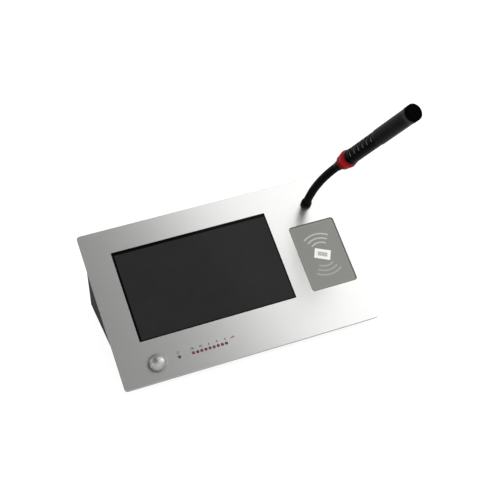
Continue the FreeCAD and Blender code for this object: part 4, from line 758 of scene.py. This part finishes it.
class PAGING_OT_case(bpy.types.Operator):
    """Finish the folded steel case, its base and feet"""

    bl_idname = "paging.case"
    bl_label = "Case"

    def execute(self, context):
        dress(powder_coated_steel(), "housing", "base_plate")
        dress(zinc_plated_steel(), "base_screws", "pan_head_screws")
        dress(zinc_plated_steel(), "board_standoffs", "connector_standoffs")
        dress(moulded_rubber(), "foot_strips")
        return {"FINISHED"}


class PAGING_OT_electronics(bpy.types.Operator):
    """Finish the boards and what is on them"""

    bl_idname = "paging.electronics"
    bl_label = "Electronics"

    def execute(self, context):
        dress(solder_masked_fibreglass(), "main_board", "connector_board")
        dress(moulded_epoxy(), "board_chips")
        dress(drawn_aluminium_can(), "capacitors")
        dress(moulded_nylon(), "board_connectors")
        return {"FINISHED"}


class PAGING_OT_rear(bpy.types.Operator):
    """Finish the sockets, the switch and the loudspeaker, and print the rear wall's signs"""

    bl_idname = "paging.rear"
    bl_label = "Rear"

    def execute(self, context):
        dress(moulded_abs(), "network_socket", "power_inlet", "rocker_case")
        dress(moulded_abs(), "audio_in_jack", "audio_out_jack")
        dress(gold_flashed_wire(), "network_contacts")
        dress(polished_abs(), "rocker")
        dress(zinc_plated_steel(), "loudspeaker_frame")
        dress(pressed_paper_cone(), "loudspeaker_cone")
        rocker = frame["nodes"]["rocker"]
        for name, side, drawing in (
            ("switch_on_mark", 1, [bar(0, 0, 0.55 * MM, 2.8 * MM)]),
            ("switch_off_mark", -1, ring(0, 0, 1.3 * MM, 0.5 * MM)),
        ):
            start = WALL @ Vector((side * 4.8 * MM, 0, CLEAR))
            hit, spot, normal, _ = rocker.ray_cast(start, -WALL_OUT)
            if not hit:
                raise RuntimeError(f"{name} has no rocker under it")
            place = axes(spot, WALL_UP.cross(normal), WALL_UP, normal)
            printed(name, drawing, place, white_ink(), "white_plastic", "rocker")
        self.sign("audio_in_sign", "audio_in_jack", True)
        self.sign("audio_out_sign", "audio_out_jack", False)
        return {"FINISHED"}

    def sign(self, name, jack, inwards):
        """An arrow into or out of a ring, above its jack."""
        low, high = reach(jack, WALL)
        wall = WALL @ Matrix.Translation(((low.x + high.x) / 2, high.y + 3.2 * MM, CLEAR))
        hit, spot, normal, _ = frame["nodes"]["housing"].ray_cast(wall.translation, -WALL_OUT)
        if not hit:
            raise RuntimeError(f"{name} has no wall under it")
        place = axes(spot, -RIGHT, WALL_UP, WALL_OUT)
        tip = -0.4 * MM if inwards else 2.6 * MM
        tail = 2.6 * MM if inwards else -0.4 * MM
        back = 1.1 * MM if inwards else -1.1 * MM
        drawing = [
            arc(0, 0, 1.5 * MM, 0.3 * MM, 0.6, math.tau - 0.6),
            bar((tip + back + tail) / 2, 0, abs(tail - tip - back), 0.3 * MM),
            [(tip, 0), (tip + back, 0.7 * MM), (tip + back, -0.7 * MM)],
        ]
        printed(name, drawing, place, white_ink(), "white_plastic")


class PAGING_OT_gooseneck(bpy.types.Operator):
    """Wind the gooseneck and finish its collar, nut and lead"""

    bl_idname = "paging.gooseneck"
    bl_label = "Gooseneck"

    def execute(self, context):
        sizes = context.scene.paging_neck
        dress(black_anodised_aluminium(), "neck_collar")
        dress(zinc_plated_steel(), "neck_nut")
        dress(moulded_rubber(), "mic_lead")
        for i, (before, after) in enumerate(zip(NECK_BODIES, NECK_BODIES[1:])):
            first = i * LINK_LENGTH
            mesh = self.wound_tube(f"neck_coil_{i + 1}", first, first + LINK_LENGTH, sizes)
            piece = new_piece(f"neck_coil_{i + 1}", mesh, "black_gooseneck", lacquered_spring_steel())
            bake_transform(piece)
            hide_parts(f"neck_link_{i}")
            if after == "microphone":
                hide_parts("neck_link_5")
        return {"FINISHED"}

    def wound_tube(self, name, first, last, sizes):
        """Round wire wound edge to edge, from one distance along the gooseneck to another."""
        around = 40
        per_turn = 8
        rings = round((last - first) / sizes.pitch * per_turn)
        points = []
        for i in range(rings + 1):
            distance = first + (last - first) * i / rings
            section = neck_axes(distance)
            for j in range(around):
                turn = distance / sizes.pitch - j / around
                across = 2 * (turn - math.floor(turn)) - 1
                radius = sizes.radius - sizes.groove * (1 - math.sqrt(1 - across * across))
                angle = math.tau * j / around
                spot = Vector((radius * math.cos(angle), radius * math.sin(angle), 0))
                points.append(section @ spot)
        faces = [tuple(reversed(range(around))), tuple(range(rings * around, (rings + 1) * around))]
        for i in range(rings):
            for j in range(around):
                k = (j + 1) % around
                low, high = i * around, (i + 1) * around
                faces.append((low + j, low + k, high + k, high + j))
        mesh = bpy.data.meshes.new(name)
        mesh.from_pydata(points, [], faces)
        return mesh


class PAGING_OT_microphone(bpy.types.Operator):
    """Finish the microphone head and punch its grille"""

    bl_idname = "paging.microphone"
    bl_label = "Microphone"

    def execute(self, context):
        dress(black_anodised_aluminium(), "head_ferrule", "mic_barrel")
        dress(dead_matt_black_lacquer(), "mic_end_cap")
        dress(diffusing_red_polycarbonate(), "light_ring")
        dress(solder_masked_fibreglass(), "ring_lamp_board", "preamp_board")
        dress(painted_highlight_felt(), "acoustic_liner")
        dress(moulded_rubber(), "capsule_holder")
        dress(drawn_aluminium_can(), "mic_capsule")
        mesh = self.punched_tube(context.scene.paging_grille)
        grille = new_piece(
            "punched_grille", mesh, "black_paint", painted_punched_steel(), woven_acoustic_cloth()
        )
        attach(grille, "microphone")
        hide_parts("mic_grille")
        return {"FINISHED"}

    def punched_tube(self, sizes):
        """A tube with staggered rows of round holes, and cloth a little way down each hole."""
        low, high = reach("mic_grille", HEAD)
        outer = high.x
        inner = outer - 0.8 * MM
        columns = round(math.tau * outer / sizes.pitch)
        rows = round((high.z - low.z - 2 * sizes.margin) / (sizes.pitch * math.sin(math.pi / 3)))
        step = math.pi / columns
        rise = (high.z - low.z - 2 * sizes.margin) / rows
        points = []
        faces = []

        def ring_at(z, radius, count, shift=0.0):
            first = len(points)
            for i in range(count):
                angle = math.tau * i / count + shift
                points.append(HEAD @ Vector((radius * math.cos(angle), radius * math.sin(angle), z)))
            return [first + i for i in range(count)]

        def join(a, b):
            for i in range(len(a)):
                k = (i + 1) % len(a)
                faces.append((a[i], a[k], b[k], b[i]))

        heights = [low.z + sizes.margin + rise * i for i in range(rows + 1)]
        lines = [ring_at(height, outer, 2 * columns) for height in heights]
        bottom = ring_at(low.z, outer, 2 * columns)
        bottom_inner = ring_at(low.z, inner, 2 * columns)
        top = ring_at(high.z, outer, 2 * columns)
        top_inner = ring_at(high.z, inner, 2 * columns)
        join(bottom_inner, bottom)
        join(bottom, lines[0])
        join(lines[-1], top)
        join(top, top_inner)
        join(top_inner, bottom_inner)
        cloth = []
        for row in range(rows):
            shift = row % 2
            z = low.z + sizes.margin + rise * (row + 0.5)
            sides = ring_at(z, outer, columns, shift * step)
            for column in range(columns):
                i = 2 * column + shift
                below = [lines[row][(i + k) % (2 * columns)] for k in range(3)]
                above = [lines[row + 1][(i + k) % (2 * columns)] for k in range(3)]
                border = below + [sides[(column + 1) % columns]] + above[::-1] + [sides[column]]
                middle = (i + 1) * step
                rims = []
                for radius in (outer, outer - sizes.depth):
                    first = len(points)
                    for k in range(8):
                        turn = math.radians(225 + 45 * k)
                        angle = middle + sizes.hole * math.cos(turn) / outer
                        height = z + sizes.hole * math.sin(turn)
                        spot = Vector((radius * math.cos(angle), radius * math.sin(angle), height))
                        points.append(HEAD @ spot)
                    rims.append([first + k for k in range(8)])
                join(border, rims[0])
                join(rims[0], rims[1])
                cloth.append(len(faces))
                faces.append(tuple(rims[1]))
        mesh = bpy.data.meshes.new("punched_grille")
        mesh.from_pydata(points, [], faces)
        for i in cloth:
            mesh.polygons[i].material_index = 1
        return mesh


class PAGING_OT_stage(bpy.types.Operator):
    """Set up the pale floor, the soft light and the camera"""

    bl_idname = "paging.stage"
    bl_label = "Stage"

    def execute(self, context):
        settings = context.scene.paging_stage
        self.floor()
        self.sky(context.scene, settings)
        knob = (-0.09, 0.0, 0.03)
        self.soft_box("overhead_soft_box", (0.79, -0.34, 1.2), (0.79, -0.34, 0.0), (0.9, 1.6), 24, 7.0)
        self.soft_box("right_soft_box", (1.25, 0.1, 0.62), knob, (0.8, 0.8), 0, 5.0)
        self.soft_box("left_soft_box", (-1.1, 0.5, 0.8), (0.0, 0.03, 0.1), (0.5, 0.9), 0, 1.2)
        self.soft_box("small_soft_box", (-1.11, -0.47, 0.43), knob, (0.22, 0.22), 0, 0.9)
        lens = bpy.data.cameras.new("camera")
        lens.lens = settings.focal_length
        lens.sensor_width = 36.0
        camera = bpy.data.objects.new("camera", lens)
        camera.location = settings.camera_place
        camera.rotation_euler = settings.camera_turn
        context.scene.collection.objects.link(camera)
        context.scene.camera = camera
        context.scene.view_settings.view_transform = "Standard"
        return {"FINISHED"}

    def floor(self):
        size = 6.0
        mesh = bpy.data.meshes.new("floor")
        corners = [(-size, -size, 0), (size, -size, 0), (size, size, 0), (-size, size, 0)]
        mesh.from_pydata(corners, [], [(0, 1, 2, 3)])
        mesh.materials.append(opal_acrylic_light_table())
        sheet = bpy.data.objects.new("floor", mesh)
        bpy.context.scene.collection.objects.link(sheet)

    def sky(self, scene, settings):
        """A studio that is bright all round, darker overhead and at the left."""
        world = bpy.data.worlds.new("studio")
        world.use_nodes = True
        tree = world.node_tree
        tree.nodes.clear()
        way = add(tree, "ShaderNodeTexCoord").outputs["Generated"]
        part = add(tree, "ShaderNodeSeparateXYZ", {"Vector": way})
        ends = {"Value": part.outputs["Z"], "From Min": 0.45, "From Max": 0.92}
        ends.update({"To Min": settings.sky_low, "To Max": settings.sky_high})
        rise = add(tree, "ShaderNodeMapRange", ends, interpolation_type="SMOOTHSTEP").outputs[0]
        ends = {"Value": part.outputs["X"], "From Min": -0.8, "From Max": -0.2}
        ends["To Min"] = settings.sky_left
        side = add(tree, "ShaderNodeMapRange", ends, interpolation_type="SMOOTHSTEP").outputs[0]
        glow = add(tree, "ShaderNodeMath", {0: rise, 1: side}, operation="MULTIPLY").outputs[0]
        light = add(tree, "ShaderNodeBackground", {"Color": (1, 1, 1, 1), "Strength": glow})
        add(tree, "ShaderNodeOutputWorld", {"Surface": light.outputs[0]})
        scene.world = world

    def soft_box(self, name, place, aim, size, turn, power):
        """A rectangular lamp aimed at a point, turned about its own axis by this many degrees."""
        light = bpy.data.lights.new(name, "AREA")
        light.shape = "RECTANGLE"
        light.size, light.size_y = size
        light.energy = power
        box = bpy.data.objects.new(name, light)
        box.location = place
        facing = (Vector(place) - Vector(aim)).to_track_quat("Z", "Y").to_matrix()
        box.rotation_euler = (facing @ Matrix.Rotation(math.radians(turn), 3, "Z")).to_euler()
        bpy.context.scene.collection.objects.link(box)


STEPS = (
    PAGING_OT_stage,
    PAGING_OT_panel,
    PAGING_OT_screen,
    PAGING_OT_card_zone,
    PAGING_OT_controls,
    PAGING_OT_case,
    PAGING_OT_electronics,
    PAGING_OT_rear,
    PAGING_OT_gooseneck,
    PAGING_OT_microphone,
)
SETTINGS = {
    "paging_screen": ScreenSizes,
    "paging_labels": LabelSizes,
    "paging_neck": NeckSizes,
    "paging_grille": GrilleSizes,
    "paging_stage": StageSettings,
}


class PAGING_PT_console(bpy.types.Panel):
    """The steps that finish the console, and the sizes they use"""

    bl_idname = "PAGING_PT_console"
    bl_label = "Paging Console"
    bl_space_type = "VIEW_3D"
    bl_region_type = "UI"
    bl_category = "Paging"

    def draw(self, context):
        for step in STEPS:
            self.layout.operator(step.bl_idname)
        for name, group in SETTINGS.items():
            box = self.layout.box()
            box.label(text=name.split("_")[1].title())
            for field in group.__annotations__:
                box.prop(getattr(context.scene, name), field)


CLASSES = (*SETTINGS.values(), *STEPS, PAGING_PT_console)


def register():
    for kind in CLASSES:
        bpy.utils.register_class(kind)
    for name, group in SETTINGS.items():
        setattr(bpy.types.Scene, name, PointerProperty(type=group))


def unregister():
    for name in SETTINGS:
        delattr(bpy.types.Scene, name)
    for kind in reversed(CLASSES):
        bpy.utils.unregister_class(kind)


def main():
    register()
    for step in STEPS:
        folder, name = step.bl_idname.split(".")
        getattr(getattr(bpy.ops, folder), name)()


if __name__ == "__main__":
    main()
